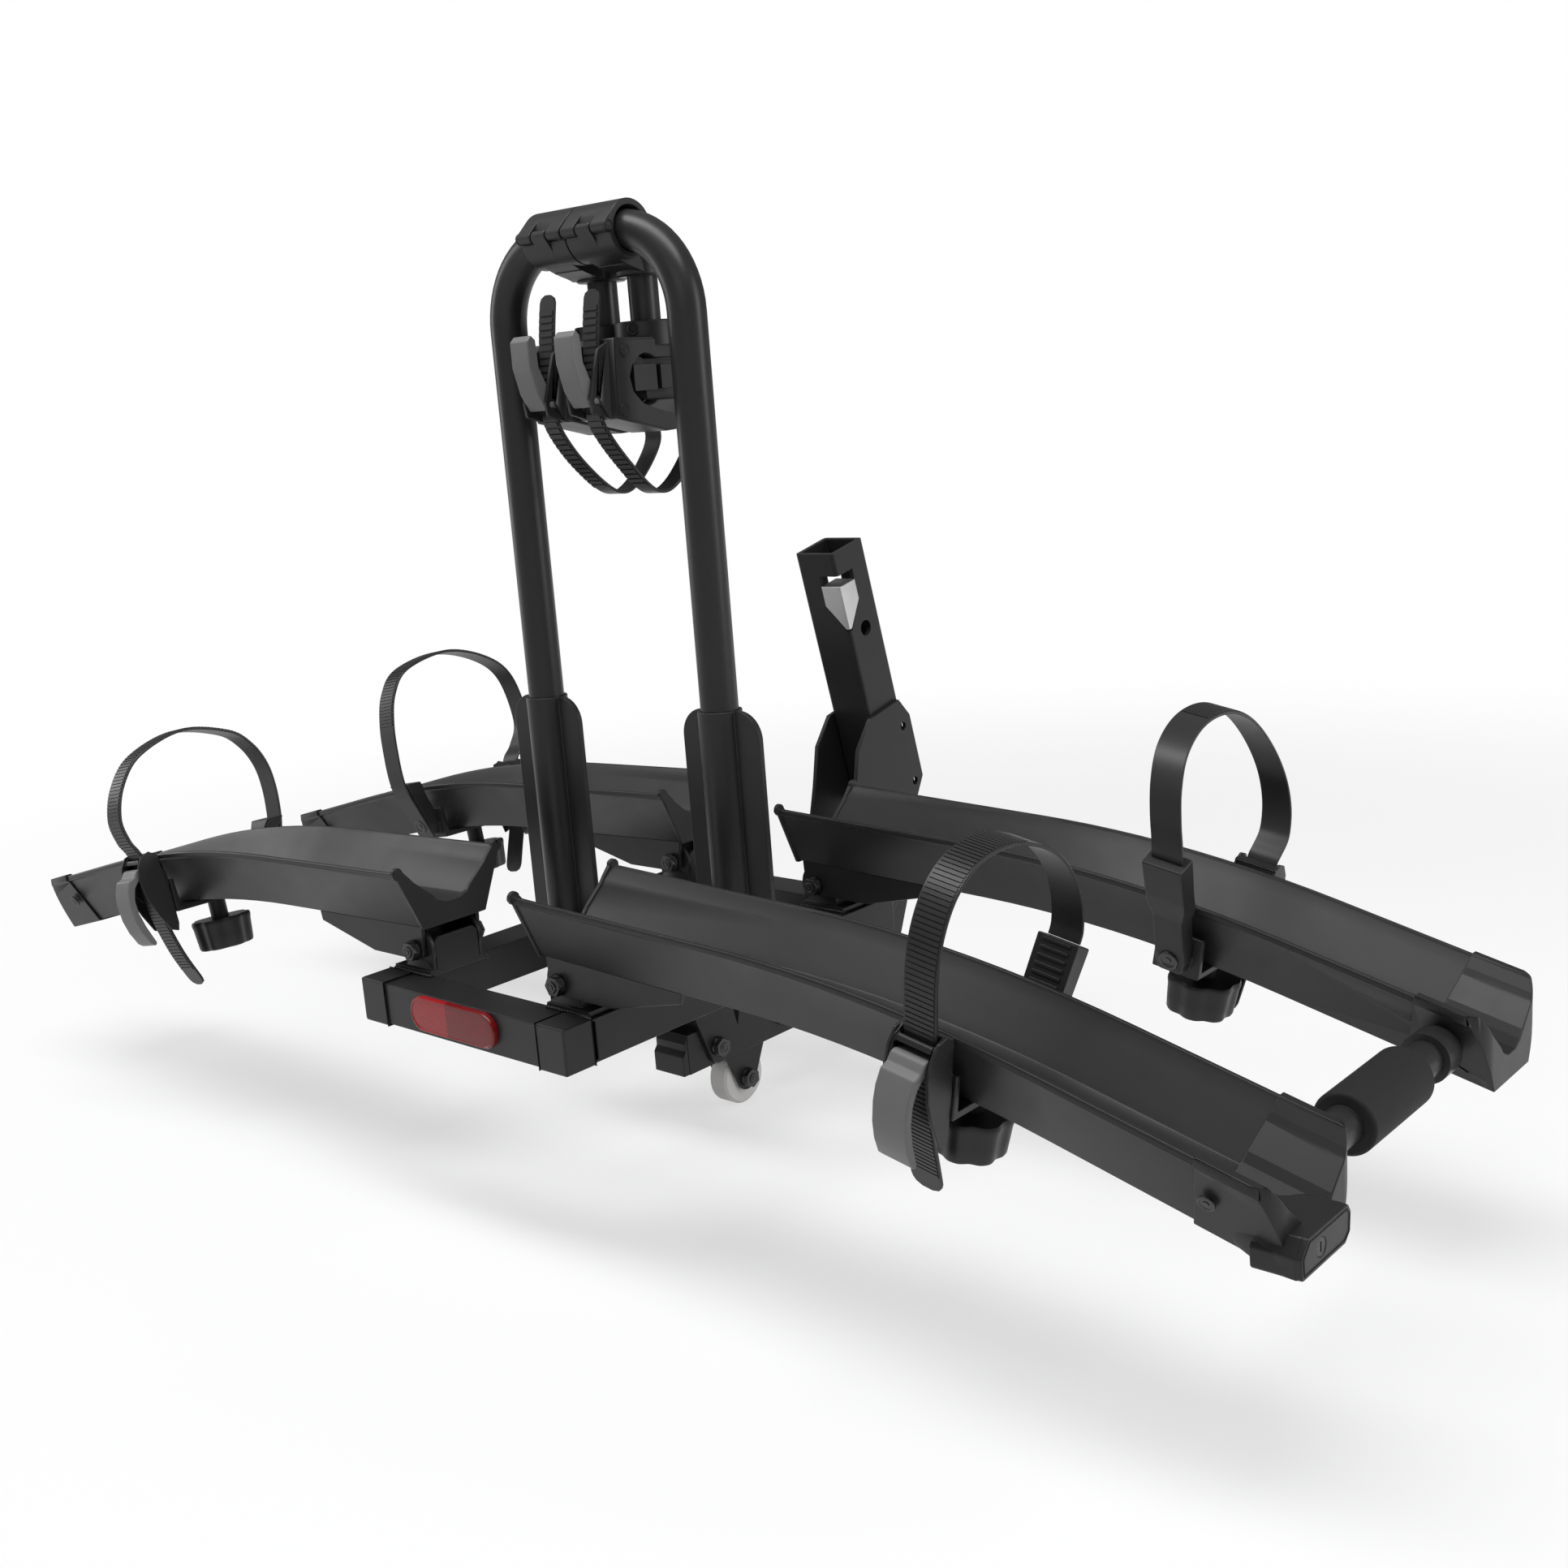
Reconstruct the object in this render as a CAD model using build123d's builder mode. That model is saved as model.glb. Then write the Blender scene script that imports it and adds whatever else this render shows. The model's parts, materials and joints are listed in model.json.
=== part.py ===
from build123d import *
from math import asin, cos, degrees, radians, sin, tan
import os

# Hitch rack for two e-bikes, in millimetres: +X along the trays, +Y towards the vehicle, +Z up.
# It is drawn with the ground at z = 0 and saved with the hitch pin hole as the origin.

os.makedirs("parts", exist_ok=True)

# Deck frame of square tube
frame_tube = 38.0
frame_wall = 2.5
frame_bottom = 170.0
frame_half_width = 135.4
front_face_y = -231.0
rear_face_y = 203.0
cross_tube_y = -19.0
cap_length = 34.0
cap_wall = 1.5

# Reflector
reflector_length = 130.0
reflector_height = 38.0
reflector_depth = 5.0
reflector_z = 191.0

# Centre beam and its plates
beam_size = 40.0
beam_wall = 3.0
beam_bottom = 60.0
beam_front_y = 18.0
beam_rear_y = 290.0
plate_thickness = 5.0
bolt_radius = 5.0
hex_across = 17.0
head_height = 6.5
washer_radius = 9.5
washer_height = 1.5
run_fit = 0.05
clear = 0.4

# Wheel
wheel_radius = 28.0
wheel_width = 23.0
wheel_y = 101.2
axle_z = 28.5
fork_wall = 3.0
fork_gap = 1.5

# Mast
mast_radius = 17.0
mast_wall = 2.5
mast_half_width = 115.3
mast_y = 2.0
mast_top = 844.0
mast_bend = 74.0
wing_width = 92.0
wing_height = 221.0
wing_wall = 3.0
wing_corner = 25.0
wing_offset = 1.0

# Tongue, a two inch square tube folded up
tongue_size = 50.8
tongue_wall = 5.0
tongue_length = 285.0
tongue_lean = 13.7
tongue_top_y = 301.9
tongue_top_z = 539.6
pin_hole_radius = 8.2
pin_hole_from_end = 90.0
pivot_y = 312.0
pivot_z = 160.0
pivot_radius = 8.0
window_start = 24.0
window_shoulder = 57.0
window_end = 84.0
window_width = 25.0
back_window = 15.0
wedge_start = 35.0
wedge_out = 0.8
wedge_tip = 4.0

# Trays
tray_y = 165.0
tray_start = 77.0
tray_arc_start = 299.0
tray_arc_end = 590.0
tray_finish = 720.0
cap_start = 697.0
cap_end = 748.0
tray_top = 309.2
inner_slope = 2.3
outer_slope = 14.6
tray_half_width = 58.0
tray_half_base = 33.6
tray_depth = 54.0
valley_depth = 38.5
tray_end_plate = 3.0
cap_skin = 1.8
rim_grow = 1.8
rim_length = 4.0
rim_bulb = 5.5
cap_fit = 0.1
cap_corner = 24.0
hinge_x = 97.4
hinge_z = 231.3
foot_half = 29.0
hinge_plate_wall = 4.0
foot_wall = 4.0
pivot_bolt_radius = 4.5

# Handle between the right trays
handle_inset = 35.0
handle_z = 192.0
rod_radius = 14.0
rod_wall = 3.0
rod_half_length = 124.0
bush_radius = 19.0
grip_radius = 23.0
grip_half_length = 50.0

# Wheel clamps
strap_width = 27.0
strap_thickness = 2.6
clamp_half = 17.0
clamp_gap = 0.6
base_thickness = 6.0
lever_pin_radius = 3.0
knob_radius = 30.0
knob_top = 80.0
knob_flange = 5.0
knob_bottom = 112.0
screw_radius = 5.0

# Frame clamp arms
collar_radius = 25.0
collar_length = 56.0
flare_length = 17.0
post_radius = 13.5
post_drop = 33.0
head_drop = 90.0
block_height = 74.0
head_ring = 14.0
head_half = 23.5
arm_strap_width = 20.0

# Values worked out from them
frame_top = frame_bottom + frame_tube
rail_inner = frame_half_width - frame_tube
beam_mid = beam_bottom + beam_size / 2
plate_x = beam_size / 2 + plate_thickness / 2
tongue_dir = Vector(0, -sin(radians(tongue_lean)), cos(radians(tongue_lean)))
tongue_top = Vector(0, tongue_top_y, tongue_top_z)
pin_center = tongue_top - tongue_dir * pin_hole_from_end
tongue_offset = tongue_size / 2 + plate_thickness / 2
post_top = mast_top - post_drop
head_top = mast_top - head_drop
head_bottom = head_top - block_height
tray_feet_front = -tray_y - foot_half - hinge_plate_wall
tray_radius = (tray_arc_end - tray_arc_start) / (sin(radians(outer_slope)) - sin(radians(inner_slope)))
arc_start_z = tray_top - (tray_arc_start - tray_start) * tan(radians(inner_slope))
arc_center_x = tray_arc_start - tray_radius * sin(radians(inner_slope))
arc_center_z = arc_start_z - tray_radius * cos(radians(inner_slope))
arc_end_z = arc_center_z + tray_radius * cos(radians(outer_slope))
handle_x = cap_end - handle_inset
cap_start_z = arc_end_z - (cap_start - tray_arc_end) * tan(radians(outer_slope))
finish_z = arc_end_z - (tray_finish - tray_arc_end) * tan(radians(outer_slope))


def save(shape, name):
    # move the pin hole to the origin and write the node
    placed = shape.moved(Location(-pin_center))
    placed.label = name
    export_step(placed, f"parts/{name}.step")


def hex_bolt(reach, radius=bolt_radius, across=hex_across):
    # a bolt along +Z: head below z = 0, nut above z = reach, each on a washer
    with BuildPart() as bolt:
        Cylinder(radius, reach + 2 * washer_height, align=(Align.CENTER, Align.CENTER, Align.MIN))
        for z, sign in ((0, -1), (reach, 1)):
            with BuildSketch(Plane.XY.offset(z)):
                Circle(across / 2 + 1)
            extrude(amount=sign * washer_height)
            with BuildSketch(Plane.XY.offset(z + sign * washer_height)):
                RegularPolygon(across / 2, 6, major_radius=False)
            extrude(amount=sign * head_height)
    return bolt.part


# Deck frame: front beam, side rails, cross tube and rear tube in one weldment
with BuildPart() as deck_frame:
    mid_z = frame_bottom + frame_tube / 2
    tubes = [
        (-frame_half_width, frame_half_width, front_face_y, front_face_y + frame_tube, "x"),
        (rail_inner, frame_half_width, front_face_y + frame_tube, rear_face_y, "y"),
        (-frame_half_width, -rail_inner, front_face_y + frame_tube, rear_face_y, "y"),
        (-rail_inner, rail_inner, cross_tube_y, cross_tube_y + frame_tube, "x"),
        (-rail_inner, rail_inner, rear_face_y - frame_tube, rear_face_y, "x"),
    ]
    for x0, x1, y0, y1, along in tubes:
        with Locations(((x0 + x1) / 2, (y0 + y1) / 2, mid_z)):
            Box(x1 - x0, y1 - y0, frame_tube)
    hollow = frame_tube - 2 * frame_wall
    for x0, x1, y0, y1, along in tubes:
        with Locations(((x0 + x1) / 2, (y0 + y1) / 2, mid_z)):
            if along == "x":
                Box(x1 - x0, hollow, hollow, mode=Mode.SUBTRACT)
            else:
                Box(hollow, y1 - y0, hollow, mode=Mode.SUBTRACT)
save(deck_frame.part, "deck_frame")

# Plastic caps around the ends of the front beam, open towards the rails and short of the feet
with BuildPart() as beam_caps:
    cap_depth = tray_feet_front - front_face_y - clear
    for side in (-1, 1):
        with Locations((side * (frame_half_width + cap_wall - cap_length / 2), front_face_y - cap_wall, mid_z)):
            Box(cap_length, cap_depth, frame_tube + 2 * cap_wall, align=(Align.CENTER, Align.MIN, Align.CENTER))
        with Locations((side * (frame_half_width - cap_length / 2), front_face_y, mid_z)):
            Box(cap_length, frame_tube, frame_tube, align=(Align.CENTER, Align.MIN, Align.CENTER), mode=Mode.SUBTRACT)
save(beam_caps.part, "beam_caps")

# Reflector: a stadium on the front beam
with BuildPart() as reflector:
    with BuildSketch(Plane((0, front_face_y, reflector_z), x_dir=(1, 0, 0), z_dir=(0, -1, 0))):
        SlotOverall(reflector_length, reflector_height - 3)
    extrude(amount=reflector_depth)
    chamfer(reflector.faces().sort_by(Axis.Y)[0].edges(), 1)
save(reflector.part, "reflector")

# Centre beam with clearance holes for its bolts
beam_bolts = [(31.9, 127.7), (54.7, 78.6), (150.0, 80.0), (262.0, 80.0), (262.0, 128.0)]
with BuildPart() as centre_beam:
    with Locations((0, (beam_front_y + beam_rear_y) / 2, beam_mid)):
        Box(beam_size, beam_rear_y - beam_front_y, beam_size)
        Box(beam_size - 2 * beam_wall, beam_rear_y - beam_front_y, beam_size - 2 * beam_wall, mode=Mode.SUBTRACT)
    for y, z in beam_bolts:
        if z < beam_bottom + beam_size:
            with Locations(Location((0, y, z), (0, 90, 0))):
                Cylinder(bolt_radius + run_fit, beam_size + 2, mode=Mode.SUBTRACT)
save(centre_beam.part, "centre_beam")

# End cap of the beam: a plug with a stepped face
with BuildPart() as beam_cap:
    with BuildSketch(Plane.YZ.offset(-beam_size / 2)):
        with BuildLine():
            Polyline((beam_front_y, beam_bottom), (beam_front_y - 8, beam_bottom), (beam_front_y - 8, beam_mid),
                     (beam_front_y - 4, beam_mid + 5), (beam_front_y - 4, beam_mid + 12),
                     (beam_front_y, beam_bottom + beam_size), close=True)
        make_face()
    extrude(amount=beam_size)
    with Locations((0, beam_front_y, beam_mid)):
        plug = beam_size - 2 * beam_wall - 2 * run_fit
        Box(plug, 10, plug, align=(Align.CENTER, Align.MIN, Align.CENTER))
save(beam_cap.part, "beam_cap")

# Plates on both sides of the beam: they carry the deck frame and hold the folding pivot
plate_low = beam_bottom + 1.5
window_top = frame_bottom - 20
plate_nose = [(18, -80), (40, -48), (54, -16), (50, 16), (28, 44), (0, 52), (-22, 45)]
with BuildPart() as beam_plates:
    for side in (-1, 1):
        with BuildSketch(Plane.YZ.offset(side * plate_x - plate_thickness / 2)):
            with BuildLine():
                Polyline((3.5, frame_bottom), (25.7, plate_low + 55), (46.5, plate_low + 4.5), (52, plate_low),
                         (beam_rear_y, plate_low), *[(pivot_y + y, pivot_z + z) for y, z in plate_nose],
                         (268, frame_bottom), close=True)
            make_face()
            with BuildLine():
                Polyline((70, window_top), (100, window_top), (84, window_top - 58), close=True)
            make_face(mode=Mode.SUBTRACT)
            with BuildLine():
                Polyline((130, window_top), (225, window_top), (200, window_top - 38), (140, window_top - 38), close=True)
            make_face(mode=Mode.SUBTRACT)
            with Locations(*beam_bolts):
                Circle(bolt_radius + run_fit, mode=Mode.SUBTRACT)
            with Locations((pivot_y, pivot_z)):
                Circle(pivot_radius + run_fit, mode=Mode.SUBTRACT)
        extrude(amount=plate_thickness)
save(beam_plates.part, "beam_plates")

# Fork plates under the beam hold the wheel
fork_inner = wheel_width / 2 + fork_gap
with BuildPart() as wheel_fork:
    for side in (-1, 1):
        with BuildSketch(Plane.YZ.offset(side * (fork_inner + fork_wall / 2) - fork_wall / 2)):
            with BuildLine():
                Polyline((wheel_y - 29, beam_bottom), (wheel_y + 29, beam_bottom), (wheel_y + 12, axle_z - 5),
                         (wheel_y - 12, axle_z - 5), close=True)
            make_face()
            with Locations((wheel_y, axle_z)):
                Circle(13)
                Circle(bolt_radius + run_fit, mode=Mode.SUBTRACT)
        extrude(amount=fork_wall)
    with Locations((0, wheel_y, beam_bottom - 1.2)):
        Box(2 * fork_inner, 54, 2.4)
save(wheel_fork.part, "wheel_fork")

# Nylon wheel with a stepped hub
with BuildPart() as wheel:
    with Locations(Location((0, wheel_y, axle_z), (0, 90, 0))):
        Cylinder(wheel_radius, wheel_width)
        chamfer(wheel.edges().filter_by(GeomType.CIRCLE), 2.5)
        Cylinder(10, 2 * fork_inner - 1)
        Cylinder(bolt_radius + run_fit, 2 * fork_inner, mode=Mode.SUBTRACT)
save(wheel.part, "wheel")

# Bolts of the beam plates and the wheel axle
axle = hex_bolt(2 * (fork_inner + fork_wall)).moved(Location((-(fork_inner + fork_wall), wheel_y, axle_z), (0, 90, 0)))
plate_out = beam_size / 2 + plate_thickness
beam_hardware = [axle]
for y, z in beam_bolts:
    beam_hardware.append(hex_bolt(2 * plate_out).moved(Location((-plate_out, y, z), (0, 90, 0))))
save(Compound(children=beam_hardware), "beam_bolts")

# Mast: one tube bent into an upside-down U
with BuildPart() as mast:
    with BuildLine(Plane((0, mast_y, 0), x_dir=(1, 0, 0), z_dir=(0, -1, 0))) as mast_path:
        Polyline((-mast_half_width, frame_top), (-mast_half_width, mast_top), (mast_half_width, mast_top),
                 (mast_half_width, frame_top))
        fillet(mast_path.vertices().sort_by(Axis.Z)[-2:], mast_bend)
    with BuildSketch(Plane((-mast_half_width, mast_y, frame_top))):
        Circle(mast_radius)
        Circle(mast_radius - mast_wall, mode=Mode.SUBTRACT)
    sweep()
save(mast.part, "mast")

# Pressed wings: a front and a back plate close around the foot of each leg
with BuildPart() as mast_wings:
    for side in (-1, 1):
        wing_x = side * (mast_half_width + wing_offset)
        with BuildSketch(Plane.XY.offset(frame_top)):
            with Locations((wing_x, mast_y)):
                Rectangle(wing_width, 2 * wing_wall)
            with Locations((side * mast_half_width, mast_y)):
                Circle(mast_radius + wing_wall)
                Circle(mast_radius, mode=Mode.SUBTRACT)
        extrude(amount=wing_height)
        with BuildSketch(Plane((wing_x, mast_y - 30, frame_top + wing_height / 2), x_dir=(1, 0, 0), z_dir=(0, 1, 0))):
            for edge in (-1, 1):
                with Locations((edge * (wing_width / 2 - wing_corner / 2), -wing_height / 2 + wing_corner / 2)):
                    Rectangle(wing_corner, wing_corner)
            for edge in (-1, 1):
                with Locations((edge * (wing_width / 2 - wing_corner), -wing_height / 2 + wing_corner)):
                    Circle(wing_corner, mode=Mode.SUBTRACT)
        extrude(amount=60, mode=Mode.SUBTRACT)
save(mast_wings.part, "mast_wings")

# Tongue: square tube with a pin hole and a window for the wedge, folded up
tongue_end = tongue_top - tongue_dir * tongue_length
tongue_plane = Plane(origin=tongue_top, x_dir=(1, 0, 0), z_dir=-tongue_dir)
with BuildPart() as tongue_tube:
    with BuildSketch(tongue_plane):
        RectangleRounded(tongue_size, tongue_size, 4)
        RectangleRounded(tongue_size - 2 * tongue_wall, tongue_size - 2 * tongue_wall, 1.5, mode=Mode.SUBTRACT)
    extrude(amount=tongue_length)
    with Locations(Plane(origin=pin_center, x_dir=(0, 1, 0), z_dir=(1, 0, 0)).location):
        Cylinder(pin_hole_radius, tongue_size, mode=Mode.SUBTRACT)
    # window at the front corner, narrowing to a point, and a smaller one at the corner behind it
    half = tongue_size / 2
    for depth, end in ((window_start, window_shoulder), (window_shoulder, window_end)):
        for place, width in ((depth, window_width), (end, window_width if end < window_end else wedge_tip)):
            with BuildSketch(tongue_plane.offset(place)):
                with Locations((half, half)):
                    Rectangle(2 * width, 2 * width)
        loft(ruled=True, mode=Mode.SUBTRACT)
    with BuildSketch(tongue_plane.offset(window_start)):
        with Locations((-half, -half)):
            Rectangle(2 * back_window, 2 * back_window)
    extrude(amount=window_shoulder - window_start, mode=Mode.SUBTRACT)
save(tongue_tube.part, "tongue_tube")

# Wedge that tightens the tongue in the receiver: it fills the window below its top and narrows with it
with BuildPart() as tongue_wedge:
    wedge_width = window_width - run_fit
    for depth, width in ((wedge_start, wedge_width), (window_shoulder - clear, wedge_width), (window_end - 2, wedge_tip)):
        with BuildSketch(tongue_plane.offset(depth)):
            corner_at = half + wedge_out - (width + wedge_out) / 2
            with Locations((corner_at, corner_at)):
                RectangleRounded(width + wedge_out, width + wedge_out, 1.6)
    loft(ruled=True)
save(tongue_wedge.part, "tongue_wedge")


def along_tongue(a, n):
    # a point given by its height along the folded tongue and its distance from the pivot line
    return (pivot_y - a * sin(radians(tongue_lean)) + n * cos(radians(tongue_lean)),
            pivot_z + a * cos(radians(tongue_lean)) + n * sin(radians(tongue_lean)))


# Tongue plates: welded to both sides of the tube and turning on the folding pivot
plate_outline = [(190.5, 50), (190.5, 101), (168, 113.5), (95, 113.5), (80, 100), (10, 34), (-14, 30), (-32, 8),
                 (-32, -12), (-16, -30), (8, -33), (97, -14.4), (128.5, 2.8), (166.9, 20.7)]
with BuildPart() as tongue_plates:
    for side in (-1, 1):
        with BuildSketch(Plane.YZ.offset(side * tongue_offset - plate_thickness / 2)):
            with BuildLine():
                Polyline(*[along_tongue(a, n) for a, n in plate_outline], close=True)
            make_face()
            with Locations(along_tongue(160, 99), along_tongue(95, 99)):
                Circle(4.2, mode=Mode.SUBTRACT)
            with Locations((pivot_y, pivot_z)):
                Circle(pivot_radius + run_fit, mode=Mode.SUBTRACT)
        extrude(amount=plate_thickness)
save(tongue_plates.part, "tongue_plates")

# Folding pivot through the beam plates and the tongue plates
pivot_half = tongue_offset + plate_thickness / 2
pivot_bolt = hex_bolt(2 * pivot_half + 1, pivot_radius, 24).moved(Location((-pivot_half - 0.5, pivot_y, pivot_z), (0, 90, 0)))
save(pivot_bolt, "tongue_pivot")


def tray_outline(grow):
    # right half of the tray's closed outline around its centre, lip height at 0
    skin = 1.35 * grow
    return [(0, -tray_depth - grow), (tray_half_base + grow, -tray_depth - grow), (55.2 + grow, -5),
            (tray_half_width + grow, -3.5), (tray_half_width + grow, 0.4 + grow), (57 + grow, 1.8 + grow),
            (54 - grow, 1.8 + grow), (52.4 - grow, -0.8 + skin), (44, -8 + skin), (40, -13 + skin), (22, -28.5 + skin),
            (17, -34.5 + skin), (7, -valley_depth + skin), (0, -valley_depth + skin)]


void_outline = [(2, -51.4), (31.8, -51.4), (50.2, -9.2), (47.5, -8.6), (42, -16), (24, -31.5), (18.5, -37.2),
                (8, -41.3), (2, -41.3)]


def both_sides(points):
    # the closed outline made of the right half and its mirror image
    return points + [(-x, y) for x, y in reversed(points) if x > 0]


# Tray profile swept along a line, an arc and a line, with a plate at the inner end
start_plane = Plane(origin=(tray_start, 0, tray_top), x_dir=(0, 1, 0), z_dir=(1, 0, 0))
with BuildPart() as tray:
    with BuildLine(Plane.XZ):
        Line((tray_start, tray_top), (tray_arc_start, arc_start_z))
        CenterArc((arc_center_x, arc_center_z), tray_radius, 90 - inner_slope, inner_slope - outer_slope)
        Line((tray_arc_end, arc_end_z), (tray_finish, finish_z))
    with BuildSketch(start_plane):
        with BuildLine():
            Polyline(*both_sides(tray_outline(0)), close=True)
        make_face()
        for flip in (-1, 1):
            with BuildLine():
                Polyline(*[(flip * x, y) for x, y in void_outline], close=True)
            make_face(mode=Mode.SUBTRACT)
    sweep()
    with BuildSketch(start_plane):
        with BuildLine():
            Polyline(*both_sides(tray_outline(0)), close=True)
        make_face()
    extrude(amount=tray_end_plate)
    # raised rim around the inner end, with a bulb on each lip
    with BuildSketch(start_plane):
        with BuildLine():
            Polyline(*both_sides(tray_outline(rim_grow)), close=True)
        make_face()
        with Locations((-56, 1), (56, 1)):
            Circle(rim_bulb)
    extrude(amount=rim_length)

# End cap: a skin over the tray end with rounded corners in plan
cap_plane = Plane(origin=(cap_start, 0, cap_start_z), x_dir=(0, 1, 0),
                  z_dir=(cos(radians(outer_slope)), 0, -sin(radians(outer_slope))))


def cap_body(grow, length, end_x, corner):
    with BuildPart() as body:
        with BuildSketch(cap_plane):
            with BuildLine():
                Polyline(*both_sides(tray_outline(grow)), close=True)
            make_face()
        extrude(amount=length)
        with BuildSketch() as plan:
            with Locations(((end_x + tray_arc_end) / 2, 0)):
                Rectangle(end_x - tray_arc_end, 2 * tray_half_width + 8)
            fillet(plan.vertices().group_by(Axis.X)[-1], corner)
        extrude(amount=400, mode=Mode.INTERSECT)
    return body.part


cap_space = cap_body(cap_fit, 60, cap_end - 3, cap_corner - 2)
cap_outside = cap_body(cap_skin, 70, cap_end, cap_corner)
with BuildPart() as plain_cap:
    add(cap_outside)
    add(cap_space, mode=Mode.SUBTRACT)

# The right trays also have a hole in the inner wall for the handle rod
with BuildPart() as rod_hole:
    with Locations(Location((handle_x, 62, handle_z), (90, 0, 0))):
        Cylinder(rod_radius + run_fit, 43)
with BuildPart() as rod_cap:
    add(plain_cap.part)
    add(rod_hole.part, mode=Mode.SUBTRACT)
with BuildPart() as rod_tray:
    add(tray.part)
    add(rod_hole.part, mode=Mode.SUBTRACT)


def place(shape, side, row):
    # from the near right place to the right (1) or left (-1) side and the near (-1) or far (1) row
    if row > 0:
        shape = mirror(shape, about=Plane.XZ)
    if side < 0:
        shape = mirror(shape, about=Plane.YZ)
    return shape.moved(Location((0, row * tray_y, 0)))


corners = {"near_right": (1, -1), "far_right": (1, 1), "near_left": (-1, -1), "far_left": (-1, 1)}
for corner, (side, row) in corners.items():
    save(place(rod_tray.part if side > 0 else tray.part, side, row), f"tray_{corner}")
    save(place(rod_cap.part if side > 0 else plain_cap.part, side, row), f"tray_cap_{corner}")

# Hinge plates under each tray, on both sides of its foot
foot_out = foot_half + hinge_plate_wall


def tray_bottom_z(x):
    # height of the flat bottom on the straight inner stretch
    return tray_top - tray_depth - (x - tray_start) * tan(radians(inner_slope))


plate_start = tray_start + rim_length + 3
plate_end = 242.0
with BuildPart() as hinge_plates:
    for flip in (-1, 1):
        with BuildSketch(Plane.XZ.offset(-flip * (foot_half + hinge_plate_wall / 2) - hinge_plate_wall / 2)):
            with BuildLine():
                Polyline((plate_start, tray_bottom_z(plate_start)), (plate_end, tray_bottom_z(plate_end)),
                         (plate_end - 2, hinge_z + 7.7), (160, hinge_z - 10.3), (102, hinge_z - 9.8),
                         (plate_start + 2, hinge_z - 5.3), close=True)
            make_face()
            with Locations((hinge_x, hinge_z)):
                Circle(pivot_bolt_radius + run_fit, mode=Mode.SUBTRACT)
        extrude(amount=hinge_plate_wall)
save(place(hinge_plates.part, 1, -1) + place(hinge_plates.part, 1, 1), "hinge_plates_right")
save(place(hinge_plates.part, -1, -1), "hinge_plates_near_left")
save(place(hinge_plates.part, -1, 1), "hinge_plates_far_left")

# Feet on the side rails: two ears with a flange
ear_out = foot_half - clear
foot_start = 79.0
foot_web = 117.0
foot_end = 131.0
foot_top = tray_bottom_z(foot_web) - 2 * clear
foot_low = hinge_z - 3.3
with BuildPart() as foot:
    for flip in (-1, 1):
        with BuildSketch(Plane.XZ.offset(-flip * (ear_out - foot_wall / 2) - foot_wall / 2)):
            with Locations((hinge_x, hinge_z)):
                Circle(20)
            with Locations(((hinge_x + foot_web + foot_wall / 2) / 2, (frame_top + foot_top) / 2)):
                Rectangle(foot_web + foot_wall / 2 - hinge_x, foot_top - frame_top)
            with Locations(((foot_start + hinge_x) / 2, (frame_top + foot_low) / 2)):
                Rectangle(hinge_x - foot_start, foot_low - frame_top)
            with Locations((hinge_x, hinge_z)):
                Circle(pivot_bolt_radius + run_fit, mode=Mode.SUBTRACT)
        extrude(amount=foot_wall)
    with Locations(((foot_start + foot_end) / 2, 0, frame_top)):
        Box(foot_end - foot_start, 2 * foot_out, 5, align=(Align.CENTER, Align.CENTER, Align.MIN))
    with Locations((foot_web, 0, frame_top)):
        Box(foot_wall, 2 * ear_out, foot_top - frame_top, align=(Align.CENTER, Align.CENTER, Align.MIN))
pivot = hex_bolt(2 * foot_out, pivot_bolt_radius, 16).moved(Location((hinge_x, -foot_out, hinge_z), (-90, 0, 0)))
save(Compound(children=[place(foot.part, s, r) for s, r in corners.values()]), "tray_feet")
save(Compound(children=[pivot.moved(Location((0 if s > 0 else -2 * hinge_x, r * tray_y, 0))) for s, r in corners.values()]),
     "tray_pivots")

# Handle: a rod through the inner walls of both right trays, with a bush and a foam grip
with BuildPart() as handle_rod:
    with Locations(Location((handle_x, 0, handle_z), (90, 0, 0))):
        Cylinder(rod_radius, 2 * rod_half_length)
    with Locations(Location((handle_x, 98, handle_z), (90, 0, 0))):
        Cylinder(bush_radius, 22)
    with Locations(Location((handle_x, 0, handle_z), (90, 0, 0))):
        Cylinder(rod_radius - rod_wall, 2 * rod_half_length, mode=Mode.SUBTRACT)
save(handle_rod.part, "handle_rod")
with BuildPart() as handle_grip:
    with Locations(Location((handle_x, 0, handle_z), (90, 0, 0))):
        Cylinder(grip_radius, 2 * grip_half_length)
        fillet(handle_grip.edges().filter_by(GeomType.CIRCLE), 3)
        Cylinder(rod_radius, 2 * grip_half_length, mode=Mode.SUBTRACT)
save(handle_grip.part, "handle_grip")

# Lock housing under the near right cap, with a D-shaped face
housing_front = cap_end + 12
housing_back = cap_end - 22
lock_y = -20.0
lock_z = 174.5
lock_radius = 6.0
with BuildPart() as lock_housing:
    with BuildSketch(Plane.YZ.offset(housing_back)) as face:
        with BuildLine():
            Polyline((-46, 162), (-47, 177), (-37, 187), (18, 187), (22, 181), (21, 168), (14, 162), close=True)
        make_face()
        fillet(face.vertices(), 3)
    extrude(amount=housing_front - housing_back)
    add(cap_outside, mode=Mode.SUBTRACT)
    with Locations(Location((housing_front, lock_y, lock_z), (0, 90, 0))):
        Cylinder(lock_radius + run_fit, 24, mode=Mode.SUBTRACT)
save(place(lock_housing.part.solids().sort_by(SortBy.VOLUME)[-1], 1, -1), "lock_housing")
with BuildPart() as lock_barrel:
    with Locations(Location((housing_front - 6, lock_y, lock_z), (0, 90, 0))):
        Cylinder(lock_radius, 11)
        Box(7, 1.6, 11, align=(Align.CENTER, Align.CENTER, Align.MIN), mode=Mode.SUBTRACT)
save(place(lock_barrel.part, 1, -1), "lock_barrel")

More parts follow.
